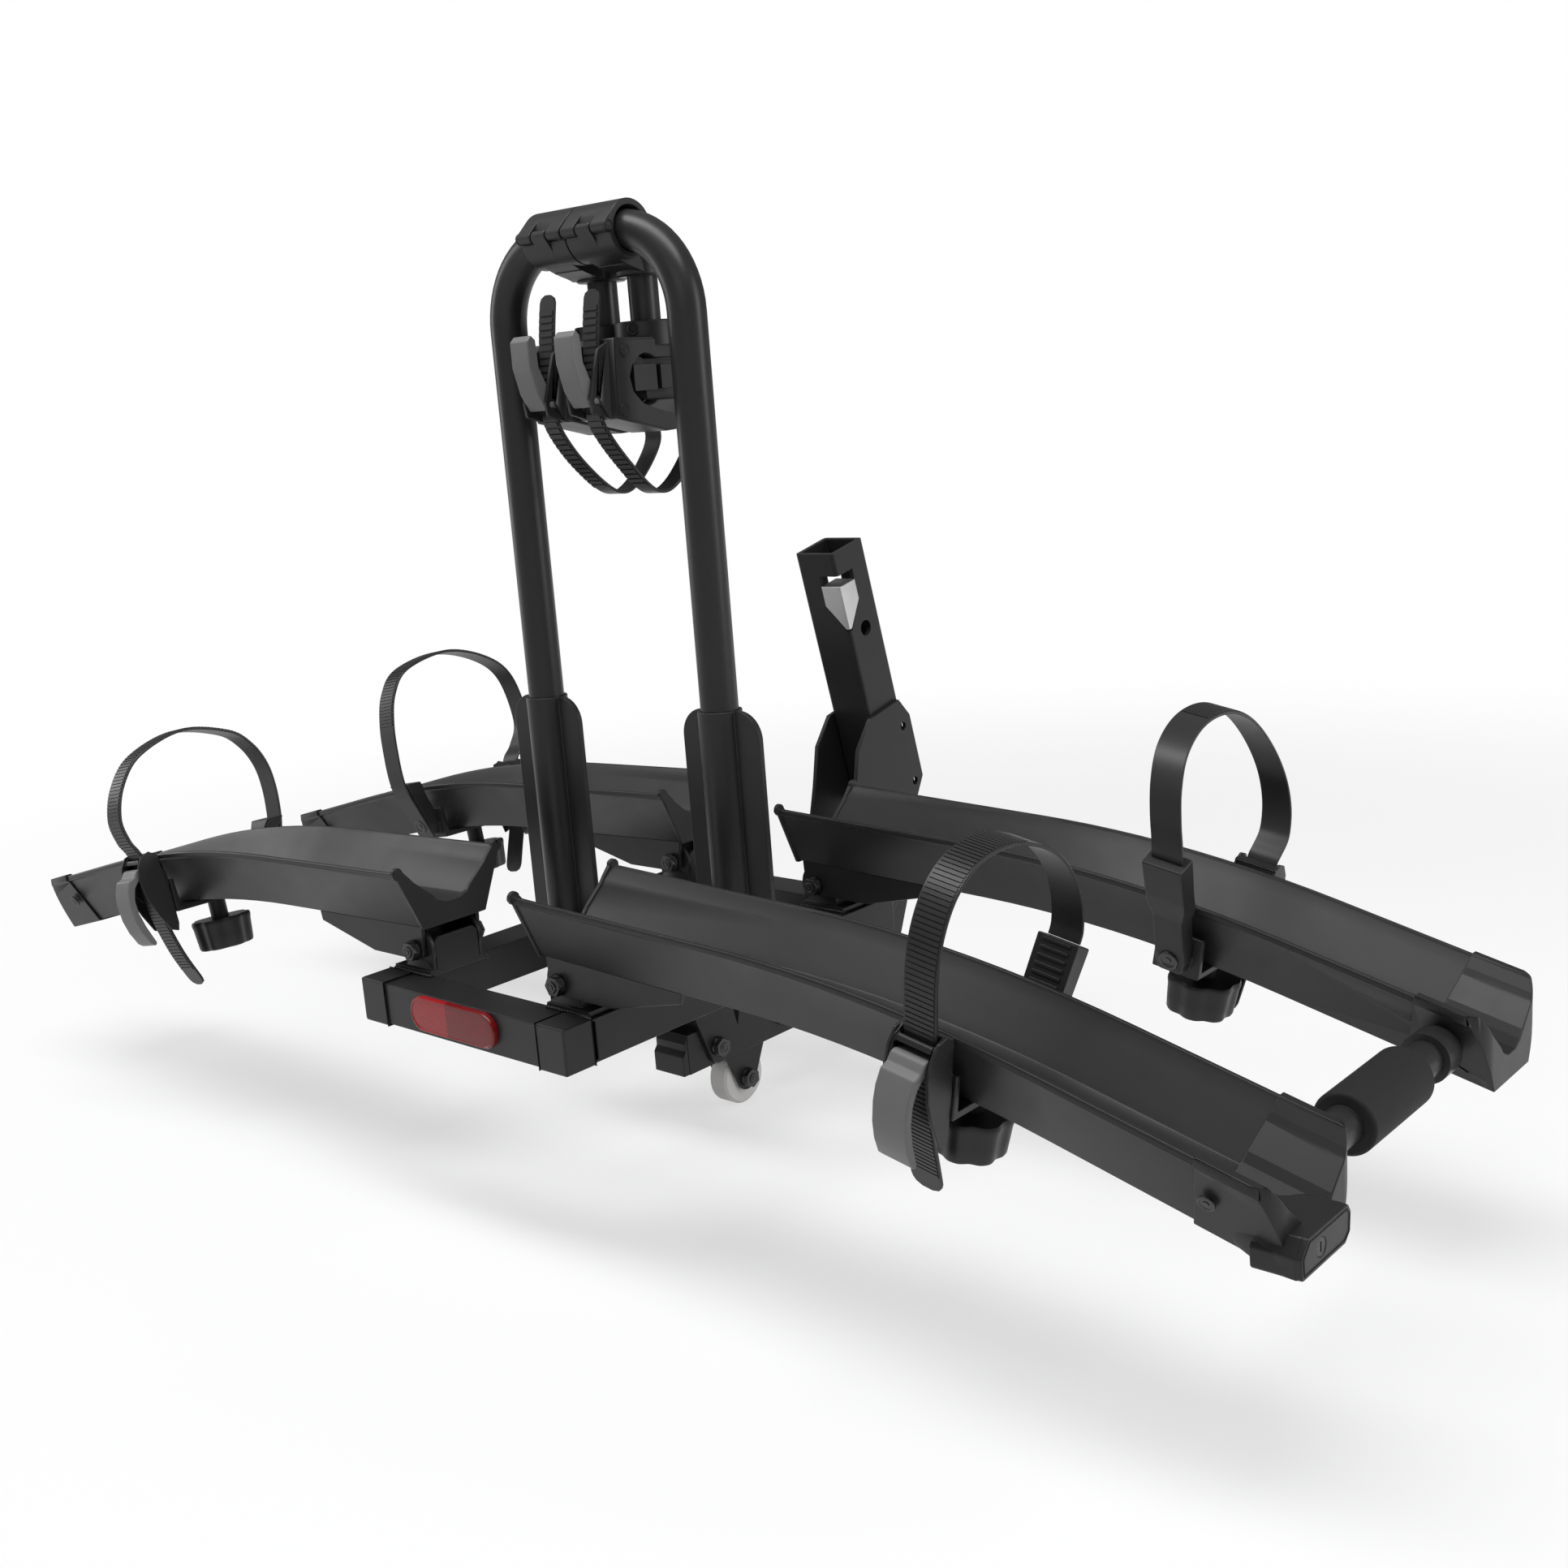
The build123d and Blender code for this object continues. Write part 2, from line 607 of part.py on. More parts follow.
# Wheel clamps: local axes lie along the tray, across it (outer side at -Y) and square to it
clamp_x = {"near_right": 507.0, "far_right": 510.0, "near_left": 500.0, "far_left": 474.0}


def on_tray(shape, corner):
    # a clamp part moved to its place on the curved stretch of its tray
    side, row = corners[corner]
    angle = asin((clamp_x[corner] - arc_center_x) / tray_radius)
    z = arc_center_z + tray_radius * cos(angle)
    return place(shape.moved(Location((clamp_x[corner], 0, z), (0, degrees(angle), 0))), side, row)


def across(points, half_width, plane=Plane.YZ):
    # a closed outline seen along the tray, given its width to both sides
    with BuildPart() as slab:
        with BuildSketch(plane.offset(-half_width)):
            with BuildLine():
                Polyline(*points, close=True)
            make_face()
        extrude(amount=2 * half_width)
    return slab.part


base_top = -tray_depth - clamp_gap
base_bottom = base_top - base_thickness
flange_out = 56.0


def link_face(half_widths):
    # the outline of a link seen square to its face, from (height, half width) pairs
    points = [(w, z) for z, w in half_widths] + [(-w, z) for z, w in reversed(half_widths)]
    with BuildPart() as slab:
        with BuildSketch(Plane.XZ.offset(-150)):
            with BuildLine():
                Polyline(*points, close=True)
            make_face()
        extrude(amount=300)
    return slab.part


def make_clamp(drop):
    # bent steel bracket under the tray, with a link on each side; drop lowers the strap holder
    with BuildPart() as clamp:
        add(across([(-flange_out, base_bottom), (flange_out, base_bottom), (flange_out, -26), (flange_out - 4, -26),
                    (flange_out - 6, base_top), (6 - flange_out, base_top), (4 - flange_out, -26), (-flange_out, -26)],
                   clamp_half + 4))
        # inner link: it leans outwards and ends in the strap holder
        lean = drop / 7
        inner_side = across([(55, -56), (66, -56), (72 - lean, -38 - drop / 8), (85 - lean, -4 - drop), (94 - lean, 14 - drop),
                             (108 - lean, 45 - drop), (91 - lean, 53 - drop), (77 - lean, 18 - drop), (68, 2 - drop),
                             (57, -30 - drop / 3)], clamp_half + 2)
        add(inner_side & link_face([(-58, 7), (-54, 11), (-45, 13), (-6 - drop, 12.5), (2 - drop, 15), (8 - drop, 17),
                                    (56 - drop, 17.5)]))
        # outer link, and the ears of the buckle on it
        outer_side = across([(-55, -54), (-66, -54), (-69.5, -36), (-69.5, 3), (-61, 3), (-61, -4), (-55, -20)], clamp_half)
        add(outer_side & link_face([(-56, 8), (-50, 12), (-40, 14), (-30, 16.5), (8, 16.5)]))
        ears = across([(-60, -44), (-72, -46), (-84, -30), (-86, -16), (-81, 0), (-72, 6), (-62, 4)], clamp_half + 2)
        slot = across([(-69.5, -60), (-95, -60), (-95, 10), (-69.5, 10)], clamp_half - 2)
        add(ears - slot)
        # frame bar around the strap, at the top of the ears
        add(across([(-77, 1), (-80, 0), (-81.5, -4), (-78.5, -5)], clamp_half + 1))
        with Locations(Location((0, -80, -14), (0, 90, 0))):
            Cylinder(lever_pin_radius + run_fit, 60, mode=Mode.SUBTRACT)
        # screw of the inner link
        with Locations(Location((0, 66, -45), (-90, 0, 0))):
            Cylinder(7.5, 4, align=(Align.CENTER, Align.CENTER, Align.MIN))
        # bore of the knob's screw
        Cylinder(screw_radius + run_fit, 200, mode=Mode.SUBTRACT)
    return clamp.part


with BuildPart() as lever:
    add(across([(-74.8, -16), (-75.5, -10), (-80, -8), (-85, -10), (-90, -30), (-90, -60), (-86, -86), (-79, -88),
                (-78, -60), (-78, -34), (-76, -22)], clamp_half - 2.4))
    with Locations(Location((0, -80, -14), (0, 90, 0))):
        Cylinder(lever_pin_radius, 2 * clamp_half + 4)

# knob: a flanged top, a waist that narrows downwards, and shallow lobes
with BuildPart() as knob:
    with Locations((0, 0, -knob_bottom)):
        Cone(knob_radius - 6, knob_radius - 2, knob_bottom - knob_top - knob_flange, align=(Align.CENTER, Align.CENTER, Align.MIN))
        chamfer(knob.faces().sort_by(Axis.Z)[0].edges(), 2.5)
    with Locations((0, 0, -knob_top - knob_flange)):
        Cylinder(knob_radius + 0.5, knob_flange, align=(Align.CENTER, Align.CENTER, Align.MIN))
    with Locations((0, 0, -knob_bottom)):
        with PolarLocations(knob_radius + 14, 8):
            Cylinder(16, 3 * knob_bottom, mode=Mode.SUBTRACT)
        Cylinder(9, knob_bottom + base_bottom - 1.0, align=(Align.CENTER, Align.CENTER, Align.MIN))
        Cylinder(screw_radius, knob_bottom + base_top + clamp_gap / 3, align=(Align.CENTER, Align.CENTER, Align.MIN))


def strap_band(points, width, thickness, steps=4):
    # a flat strap seen along the tray: its centre line runs smoothly through the points
    line = []
    for i in range(len(points) - 1):
        before, start, end, after = (Vector(*points[min(max(k, 0), len(points) - 1)]) for k in range(i - 1, i + 3))
        for k in range(steps if i < len(points) - 2 else steps + 1):
            t = k / steps
            line.append(start * (1 + t * t * (2 * t - 3)) + end * (t * t * (3 - 2 * t))
                        + (end - before) * (0.5 * t * (1 - t) ** 2) - (after - start) * (0.5 * t * t * (1 - t)))
    left, right = [], []
    for i, point in enumerate(line):
        along = (line[min(i + 1, len(line) - 1)] - line[max(i - 1, 0)]).normalized()
        normal = Vector(-along.Y, along.X) * (thickness / 2)
        left.append(point + normal)
        right.append(point - normal)
    return across([(p.X, p.Y) for p in left + right[::-1]], width / 2)


# The near right clamp's strap holder sits lower than the others
holder_drop = {"near_right": 28.0, "far_right": 0.0, "near_left": 0.0, "far_left": 0.0}

# Inner and outer width and height of each strap loop over its tray
loops = {"near_right": (95, 74, 110), "far_right": (113, 104, 146), "near_left": (98, 92, 125), "far_left": (112, 102, 149)}
for corner, (inner, outer, top) in loops.items():
    drop = holder_drop[corner]
    points = [(99.5 - drop / 7, 49.7 - drop), (102 - drop / 7, 60 - drop), (inner, 84 if outer > 80 else 76), (inner * 0.6, top - 12),
              ((inner - outer) / 2 - 4, top), (-outer * 0.62, top - 17), (-outer, 66), (-outer * 0.6 - 31, 30),
              (-74.8, 8), (-72.6, -4), (-71.3, -30), (-69, -66), (-58, -112)]
    save(on_tray(strap_band(points, strap_width, strap_thickness), corner), f"strap_{corner}")
    save(on_tray(make_clamp(drop), corner), f"clamp_{corner}")
    save(on_tray(lever.part, corner), f"lever_{corner}")
    save(on_tray(knob.part, corner), f"knob_{corner}")

# Frame clamp arms hang from collars around the top of the mast
arms = {"left": (-28.4, 43.0, -1), "right": (29.0, 38.0, 1)}
for name, (arm_x, post_y, side) in arms.items():
    with BuildPart() as collar:
        with Locations(Location((0, mast_y, mast_top), (0, 90, 0))):
            Cylinder(collar_radius, collar_length)
        for step in (-1, 0, 1):
            with Locations(Location((step * 19, mast_y - collar_radius - 1.5, mast_top + 2), (0, 90, 0))):
                Cylinder(5, 17)
        with Locations((0, (mast_y + post_y) / 2, mast_top - 19)):
            Box(34, post_y - mast_y, 20)
        with Locations((0, post_y, post_top)):
            Cylinder(20, 22, align=(Align.CENTER, Align.CENTER, Align.MIN))
        with Locations(Location((0, mast_y, mast_top), (0, 90, 0))):
            Cylinder(mast_radius + run_fit, collar_length, mode=Mode.SUBTRACT)
        # the bore flares where the bend of the mast begins
        with Locations(Location((side * (collar_length / 2 - flare_length / 2), mast_y, mast_top), (0, side * 90, 0))):
            Cone(mast_radius + run_fit, mast_radius + 2.5, flare_length, mode=Mode.SUBTRACT)
    post_bottom = head_top + head_ring
    with BuildPart() as post:
        with Locations((0, post_y, post_bottom)):
            Cylinder(post_radius, post_top - post_bottom, align=(Align.CENTER, Align.CENTER, Align.MIN))

    def at_head(points):
        # an outline seen along the bar, with heights counted from the head's bottom
        return [(y, head_bottom + z) for y, z in points]

    head_back = post_y + 28
    pin_y, pin_z = -44, head_bottom + 22
    with BuildPart() as head:
        with Locations((0, post_y, head_top)):
            Cylinder(28.3, head_ring, align=(Align.CENTER, Align.CENTER, Align.MIN))
            chamfer(head.faces().sort_by(Axis.Z)[-1].edges(), 2)
        add(across(at_head([(-26, block_height), (head_back, block_height), (head_back, -6), (30, -8), (-30, 6)]), head_half))
        # jaw opening in the side, open to the back
        with BuildSketch(Plane.YZ.offset(head_half - 14 if side > 0 else -head_half)):
            with Locations((9, head_bottom + 38)):
                Circle(22)
            with Locations(((9 + head_back) / 2 + 5, head_bottom + 38)):
                Rectangle(head_back - 9 + 10, 36)
        extrude(amount=14, mode=Mode.SUBTRACT)
        ear_shape = across(at_head([(-25, 18), (-30, 6), (-50, 12), (-52, 24), (-38, 65), (-20, 74)]), 15.5)
        ear_slot = across(at_head([(-26, 0), (-60, 0), (-60, 80), (-26, 80)]), 12)
        add(ear_shape - ear_slot)
        with Locations(Location((0, pin_y, pin_z), (0, 90, 0))):
            Cylinder(lever_pin_radius + run_fit, 60, mode=Mode.SUBTRACT)
    with BuildPart() as arm_lever:
        add(across(at_head([(-40, 17), (-48, 17), (-57, 32), (-63, 55), (-63, 77), (-58, 82), (-53, 78), (-52, 55),
                            (-40, 28)]), 11.6))
        with Locations(Location((0, pin_y, pin_z), (0, 90, 0))):
            Cylinder(lever_pin_radius, 31)
    far = head_back + 0.05 + strap_thickness / 2
    arm_points = at_head([(far, 36), (far + 14, 4), (far + 17, -20), (post_y + 16, -54), (post_y - 12, -60), (-6, -32),
                          (-31, 0), (-33.5, 20), (-31.5, 45), (-29, 80), (-23, 116)])
    arm_strap = strap_band(arm_points, arm_strap_width, strap_thickness)
    for part, kind in ((collar.part, "collar"), (post.part, "post"), (head.part, "head"), (arm_strap, "strap"),
                       (arm_lever.part, "lever")):
        save(part.moved(Location((arm_x, 0, 0))), f"arm_{kind}_{name}")
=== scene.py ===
import json
import math

import bmesh
import bpy
from mathutils import Matrix, Vector


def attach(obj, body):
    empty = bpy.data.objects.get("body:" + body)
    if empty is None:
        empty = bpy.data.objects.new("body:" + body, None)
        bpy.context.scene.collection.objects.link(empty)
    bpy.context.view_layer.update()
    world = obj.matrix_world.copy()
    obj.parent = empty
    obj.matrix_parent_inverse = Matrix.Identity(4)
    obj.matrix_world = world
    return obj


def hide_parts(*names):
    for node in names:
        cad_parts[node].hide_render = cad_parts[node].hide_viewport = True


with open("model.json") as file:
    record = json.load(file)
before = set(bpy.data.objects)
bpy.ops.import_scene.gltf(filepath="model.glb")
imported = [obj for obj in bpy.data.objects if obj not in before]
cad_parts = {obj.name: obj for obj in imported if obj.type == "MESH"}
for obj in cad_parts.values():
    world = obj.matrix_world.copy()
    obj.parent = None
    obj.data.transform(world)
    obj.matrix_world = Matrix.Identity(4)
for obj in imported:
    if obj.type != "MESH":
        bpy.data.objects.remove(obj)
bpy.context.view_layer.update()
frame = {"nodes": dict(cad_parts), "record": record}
print("frame loaded:", len(frame["nodes"]), "nodes")

mm = 0.001
pinY = 0.323215  # the pin hole is the origin, so drawing sizes are shifted by its place
pinZ = 0.452161
groundZ = -pinZ
shift = Matrix.Translation((0, -pinY, -pinZ))

# camera, fitted to the photograph
viewpoint = {
    "place": (1.19335, -1.11041, 0.69617), "yaw": 42.19, "down": 12.34, "roll": -4.31,
    "lens": 40.825, "sensor": 36,
}


def makeCamera(name, setup):
    yaw, down, roll = (math.radians(setup[key]) for key in ("yaw", "down", "roll"))
    look = Vector((-math.sin(yaw) * math.cos(down), math.cos(yaw) * math.cos(down), -math.sin(down)))
    right = Vector((math.cos(yaw), math.sin(yaw), 0))
    up = right.cross(look)
    tiltedRight = right * math.cos(roll) + up * math.sin(roll)
    tiltedUp = up * math.cos(roll) - right * math.sin(roll)
    data = bpy.data.cameras.new(name)
    data.sensor_width = setup["sensor"]
    data.lens = setup["lens"]
    camera = bpy.data.objects.new(name, data)
    axes = Matrix((tiltedRight, tiltedUp, -look)).transposed().to_4x4()
    camera.matrix_world = shift @ Matrix.Translation(setup["place"]) @ axes
    bpy.context.collection.objects.link(camera)
    bpy.context.scene.camera = camera


makeCamera("camera", viewpoint)


# shader maths written as plain expressions
class Sock:
    def __init__(self, tree, out):
        self.tree = tree
        self.out = out

    def join(self, kind, other, swap=False):
        node = self.tree.nodes.new("ShaderNodeMath")
        node.operation = kind
        for slot, value in enumerate((other, self) if swap else (self, other)):
            if isinstance(value, Sock):
                self.tree.links.new(value.out, node.inputs[slot])
            elif value is not None:
                node.inputs[slot].default_value = value
        return Sock(self.tree, node.outputs[0])

    def __add__(self, other):
        return self.join("ADD", other)

    def __radd__(self, other):
        return self.join("ADD", other, True)

    def __mul__(self, other):
        return self.join("MULTIPLY", other)

    def __rmul__(self, other):
        return self.join("MULTIPLY", other, True)

    def __lt__(self, other):
        return self.join("LESS_THAN", other)

    def wave(self):
        return self.join("SINE", None)

    def size(self):
        return self.join("ABSOLUTE", None)

    def most(self, other):
        return self.join("MAXIMUM", other)


class Finish:
    # one material, with one method that makes any node
    def __init__(self, name, roughness=0.5, metallic=0.0, **steady):
        self.material = bpy.data.materials.new(name)
        self.material.use_nodes = True
        self.tree = self.material.node_tree
        self.shader = self.tree.nodes["Principled BSDF"]
        self.set("Roughness", roughness)
        self.set("Metallic", metallic)
        for socket, value in steady.items():
            self.set(socket.replace("_", " "), value)

    def set(self, socket, value):
        if isinstance(value, Sock):
            self.tree.links.new(value.out, self.shader.inputs[socket])
        else:
            self.shader.inputs[socket].default_value = value

    def node(self, kind, settings=None, values=None, output=0):
        made = self.tree.nodes.new("ShaderNode" + kind)
        for key, value in (settings or {}).items():
            setattr(made, key, value)
        for key, value in (values or {}).items():
            if isinstance(value, Sock):
                self.tree.links.new(value.out, made.inputs[key])
            else:
                made.inputs[key].default_value = value
        return Sock(self.tree, made.outputs[output])

    def place(self):
        return self.node("TexCoord", output="Object")

    def noise(self, scale, detail, rough=0.5):
        values = {"Vector": self.place(), "Scale": scale, "Detail": detail, "Roughness": rough}
        return self.node("TexNoise", values=values)

    def mix(self, amount, first, second):
        return self.node("Mix", {"data_type": "RGBA"}, {0: amount, 6: first, 7: second}, 2)

    def bump(self, height, strength, distance):
        values = {"Strength": strength, "Distance": distance, "Height": height}
        self.set("Normal", self.node("Bump", values=values))


# noise scale and detail of the colour patches, the gloss and the grain, and how far gloss and grain go
surface = {
    "coat": {"patches": (9, 3), "gloss": (35, 2), "glossRange": 0.1, "grain": (2600, 2), "depth": 0.0004},
    "plastic": {"patches": (14, 2), "gloss": (60, 2), "glossRange": 0.08, "grain": (1900, 3, 0.6),
                "depth": 0.0003},
    "steel": {"patches": (60, 3), "gloss": (240, 3), "glossRange": 0.15, "grain": (1400, 2), "depth": 0.0002},
}


def tone(value, warm=0.0):
    return (value * (1 + warm), value, value * (1 - warm), 1)


def uneven(finish, kind, dark, light, gloss, grain):
    size = surface[kind]
    finish.set("Base Color", finish.mix(finish.noise(*size["patches"]), dark, light))
    finish.set("Roughness", gloss + size["glossRange"] * finish.noise(*size["gloss"]))
    finish.bump(finish.noise(*size["grain"]), grain, size["depth"])
    return finish.material


def powderCoat(name, dark, light, gloss, grain, shine=0.28):
    return uneven(Finish(name, Specular_IOR_Level=shine), "coat", tone(dark), tone(light), gloss, grain)


def mouldedPlastic(name, dark, light, gloss, grain, warm=0.0, shine=0.3):
    finish = Finish(name, Specular_IOR_Level=shine)
    return uneven(finish, "plastic", tone(dark, warm), tone(light, warm), gloss, grain)


def platedSteel(name, colour, gloss, worn=0.82, grain=0.08):
    return uneven(Finish(name, metallic=1.0), "steel", tone(colour * worn), tone(colour), gloss, grain)


# fine prism grid, with painted light: left of the edge a painted highlight where the lens would catch the
# light, and the rest a painted shade that stays darker
prismsAndPaintedLight = {
    "scale": 1400, "edge": -0.012, "bump": 0.35, "depth": 0.0006,
    "paintedLit": ((0.2, 0.003, 0.006, 1), (0.36, 0.012, 0.016, 1)),
    "paintedShade": ((0.12, 0.002, 0.003, 1), (0.19, 0.004, 0.006, 1)),
}


def redReflector(name, gridAndLight):
    finish = Finish(name, roughness=0.24, Coat_Weight=0.12, Coat_Roughness=0.1, Specular_IOR_Level=0.3)
    x, z = (finish.node("SeparateXYZ", values={0: finish.place()}, output=axis) for axis in (0, 2))
    cells = ((x * gridAndLight["scale"]).wave().size() + (z * gridAndLight["scale"]).wave().size()) * 0.5
    paintedLit, paintedShade = (finish.mix(cells, *gridAndLight[half]) for half in ("paintedLit", "paintedShade"))
    # painted highlight colour left of the edge, painted shade colour on the rest of the lens
    finish.set("Base Color", finish.mix(x < gridAndLight["edge"], paintedShade, paintedLit))
    finish.bump(cells, gridAndLight["bump"], gridAndLight["depth"])
    return finish.material


finishes = {
    "powder_coat": powderCoat("framePowderCoat", dark=0.016, light=0.022, gloss=0.3, grain=0.08),
    "tray_aluminium": powderCoat("trayCoat", dark=0.017, light=0.023, gloss=0.34, grain=0.08),
    "black_plastic": mouldedPlastic("blackNylon", dark=0.016, light=0.022, gloss=0.36, grain=0.12),
    "strap_plastic": mouldedPlastic("strapPlastic", dark=0.022, light=0.03, gloss=0.34, grain=0.06),
    "grey_plastic": mouldedPlastic("leverGrey", dark=0.135, light=0.16, gloss=0.42, grain=0.1),
    "white_nylon": mouldedPlastic("wheelNylon", dark=0.78, light=0.84, gloss=0.45, grain=0.08, warm=0.02),
    "red_reflector": redReflector("reflectorRed", prismsAndPaintedLight),
    "zinc_steel": platedSteel("blackZinc", colour=0.09, gloss=0.38),
    "bright_zinc": platedSteel("brightZinc", colour=0.62, gloss=0.3),
    "satin_rod": powderCoat("rodCoat", dark=0.02, light=0.028, gloss=0.28, grain=0.05),
    "cast_collar": powderCoat("collarCoat", dark=0.018, light=0.024, gloss=0.32, grain=0.08),
    "foam": mouldedPlastic("gripFoam", dark=0.012, light=0.016, gloss=0.7, grain=0.5),
}

slotOf = {part["node"]: part["material_slot"] for part in frame["record"]["subparts"]}
bodyOf = {node: body for body, nodes in frame["record"]["behaviour"]["bodies"].items() for node in nodes}


def dress(piece, material):
    piece.data.materials.clear()
    piece.data.materials.append(material)


for node, piece in frame["nodes"].items():
    dress(piece, finishes[slotOf[node]])
print("finishes set on the frame")


# the four trays, as (side, row) pairs, and the curve they follow, with its first and last slope in degrees
corners = {"near_right": (1, -1), "far_right": (1, 1), "near_left": (-1, -1), "far_left": (-1, 1)}
trayShape = {
    "start": 77.0, "arcStart": 299.0, "arcEnd": 590.0, "top": 309.2, "inner": 2.3, "outer": 14.6,
    "row": 165.0,  # from the middle of the rack to the middle of a tray
    "clampX": {"near_right": 507.0, "far_right": 510.0, "near_left": 500.0, "far_left": 474.0},
}


def trayArc():
    inner, outer = math.radians(trayShape["inner"]), math.radians(trayShape["outer"])
    radius = (trayShape["arcEnd"] - trayShape["arcStart"]) / (math.sin(outer) - math.sin(inner))
    startZ = trayShape["top"] - (trayShape["arcStart"] - trayShape["start"]) * math.tan(inner)
    return radius, trayShape["arcStart"] - radius * math.sin(inner), startZ - radius * math.cos(inner)


def trayMatrix(corner):
    # from the clamp's own axes to its place on the tray
    radius, middleX, middleZ = trayArc()
    side, row = corners[corner]
    clampX = trayShape["clampX"][corner]
    angle = math.asin((clampX - middleX) / radius)
    height = middleZ + radius * math.cos(angle)
    local = Matrix.Translation((clampX * mm, 0, height * mm)) @ Matrix.Rotation(angle, 4, "Y")
    flip = Matrix.Diagonal((side, -row, 1, 1))
    return shift @ Matrix.Translation((0, row * trayShape["row"] * mm, 0)) @ flip @ local


def addPiece(name, mesh, slot, body, *nodes):
    piece = bpy.data.objects.new(name, mesh)
    bpy.context.collection.objects.link(piece)
    dress(piece, finishes[slot])
    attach(piece, body)
    if nodes:
        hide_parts(*nodes)
    return piece


def roundEdges(piece, width, segments=2, corner=30):
    # smooth shading up to the corner angle, and a rounding of this many millimetres on sharper edges
    piece.data.polygons.foreach_set("use_smooth", [True] * len(piece.data.polygons))
    piece.data.set_sharp_from_angle(angle=math.radians(corner))
    if width:
        rounding = piece.modifiers.new("rounding", "BEVEL")
        rounding.width = width * mm
        rounding.segments = segments
        rounding.limit_method = "ANGLE"
        rounding.angle_limit = math.radians(corner)
        rounding.use_clamp_overlap = False
        rounding.harden_normals = True


# rounded copies of the solids, with each one's rounding in millimetres
softened = {
    "deck_frame": 1.1, "beam_caps": 2.0, "beam_cap": 1.2, "beam_plates": 0.9, "wheel_fork": 0.6,
    "mast_wings": 0.9, "tray_feet": 0.8, "tongue_plates": 0.9, "tongue_wedge": 0.8, "lock_housing": 1.2,
    "hinge_plates_right": 0.8, "hinge_plates_near_left": 0.8, "hinge_plates_far_left": 0.8,
    "beam_bolts": 0.7, "tray_pivots": 0.7, "tongue_pivot": 0.7,
}
for corner in corners:
    softened.update({"clamp_" + corner: 1.2, "tray_cap_" + corner: 0.9, "tray_" + corner: 0.6})
for side in ("left", "right"):
    softened.update({"arm_head_" + side: 1.2, "arm_lever_" + side: 1.2, "arm_collar_" + side: 1.0})
# doubles nearer than weld are joined, faces nearer than flat to one plane become one, and only edges
# sharper than the corner angle are rounded
edgeCare = {"weld": 0.000002, "flat": 0.0015, "corner": 30, "curvedCorner": 24}
bareLinks = ("near_left", "far_left")  # their straps end on the link itself, without a holder
linkTop = 9.0  # the height on the clamp at which those links are cut


def soften(node, width, cut=None):
    # the node's own solid again, with its flat faces made whole and its sharp edges rounded
    curved = node.startswith("tray_") and "cap" not in node
    work = bmesh.new()
    work.from_mesh(frame["nodes"][node].data)
    bmesh.ops.remove_doubles(work, verts=work.verts, dist=edgeCare["weld"])
    if not (curved or "cap_" in node or "head_" in node):
        bmesh.ops.dissolve_limit(work, angle_limit=edgeCare["flat"], verts=work.verts, edges=work.edges)
    if cut:
        shape = work.verts[:] + work.edges[:] + work.faces[:]
        made = bmesh.ops.bisect_plane(work, geom=shape, plane_co=cut[0], plane_no=cut[1], clear_outer=True)
        rim = [item for item in made["geom_cut"] if isinstance(item, bmesh.types.BMEdge)]
        bmesh.ops.holes_fill(work, edges=rim)
    mesh = bpy.data.meshes.new(node + "Rounded")
    work.to_mesh(mesh)
    work.free()
    piece = addPiece(node + "Rounded", mesh, slotOf[node], bodyOf[node], node)
    roundEdges(piece, width, corner=edgeCare["curvedCorner" if curved else "corner"])


for node, width in softened.items():
    kind, _, corner = node.partition("_")
    cut = None
    if kind == "clamp" and corner in bareLinks:
        matrix = trayMatrix(corner)
        cut = (matrix @ Vector((0, 0, linkTop * mm)), (matrix.to_3x3() @ Vector((0, 0, 1))).normalized())
    soften(node, width, cut)
print("rounded pieces:", len(softened))


# node trees for what repeats
class Tree:
    def __init__(self, name, inputs, solid):
        self.group = bpy.data.node_groups.new(name, "GeometryNodeTree")
        face = self.group.interface
        face.new_socket("Base", in_out="INPUT", socket_type="NodeSocketGeometry")
        for label in inputs:
            face.new_socket(label, in_out="INPUT", socket_type="NodeSocketFloat")
        face.new_socket("Finish", in_out="INPUT", socket_type="NodeSocketMaterial")
        face.new_socket("Result", in_out="OUTPUT", socket_type="NodeSocketGeometry")
        self.given = self.make("NodeGroupInput")
        solid(self, self.given.outputs)

    def make(self, kind, settings=None, **values):
        node = self.group.nodes.new(kind)
        for key, value in (settings or {}).items():
            setattr(node, key, value)
        for label, value in values.items():
            self.feed(node, label.replace("_", " "), value)
        return node

    def feed(self, node, label, value):
        if isinstance(value, bpy.types.NodeSocket):
            self.group.links.new(value, node.inputs[label])
        else:
            node.inputs[label].default_value = value

    def end(self, shape):
        real = self.make("GeometryNodeRealizeInstances", Geometry=shape)
        finish = self.given.outputs["Finish"]
        colour = self.make("GeometryNodeSetMaterial", Geometry=real.outputs[0], Material=finish)
        self.group.links.new(colour.outputs[0], self.make("NodeGroupOutput").inputs[0])

    def grow(self, mesh, slot, sizes):
        # run the tree on a mesh, with its sizes in millimetres, and give back a plain mesh
        holder = bpy.data.objects.new("holder", mesh)
        bpy.context.collection.objects.link(holder)
        growing = holder.modifiers.new("growing", "NODES")
        growing.node_group = self.group
        for item in self.group.interface.items_tree:
            if item.in_out == "INPUT" and item.name in sizes:
                growing[item.identifier] = sizes[item.name] * mm
            elif item.in_out == "INPUT" and item.name == "Finish":
                growing[item.identifier] = finishes[slot]
        grown = holder.evaluated_get(bpy.context.evaluated_depsgraph_get())
        result = bpy.data.meshes.new_from_object(grown)
        bpy.data.objects.remove(holder)
        return result


def pointsAlong(tree, given):
    curve = tree.make("GeometryNodeMeshToCurve", Mesh=given["Base"])
    return tree.make("GeometryNodeCurveToPoints", {"mode": "LENGTH"}, Curve=curve.outputs[0],
                     Length=given["Pitch"]).outputs


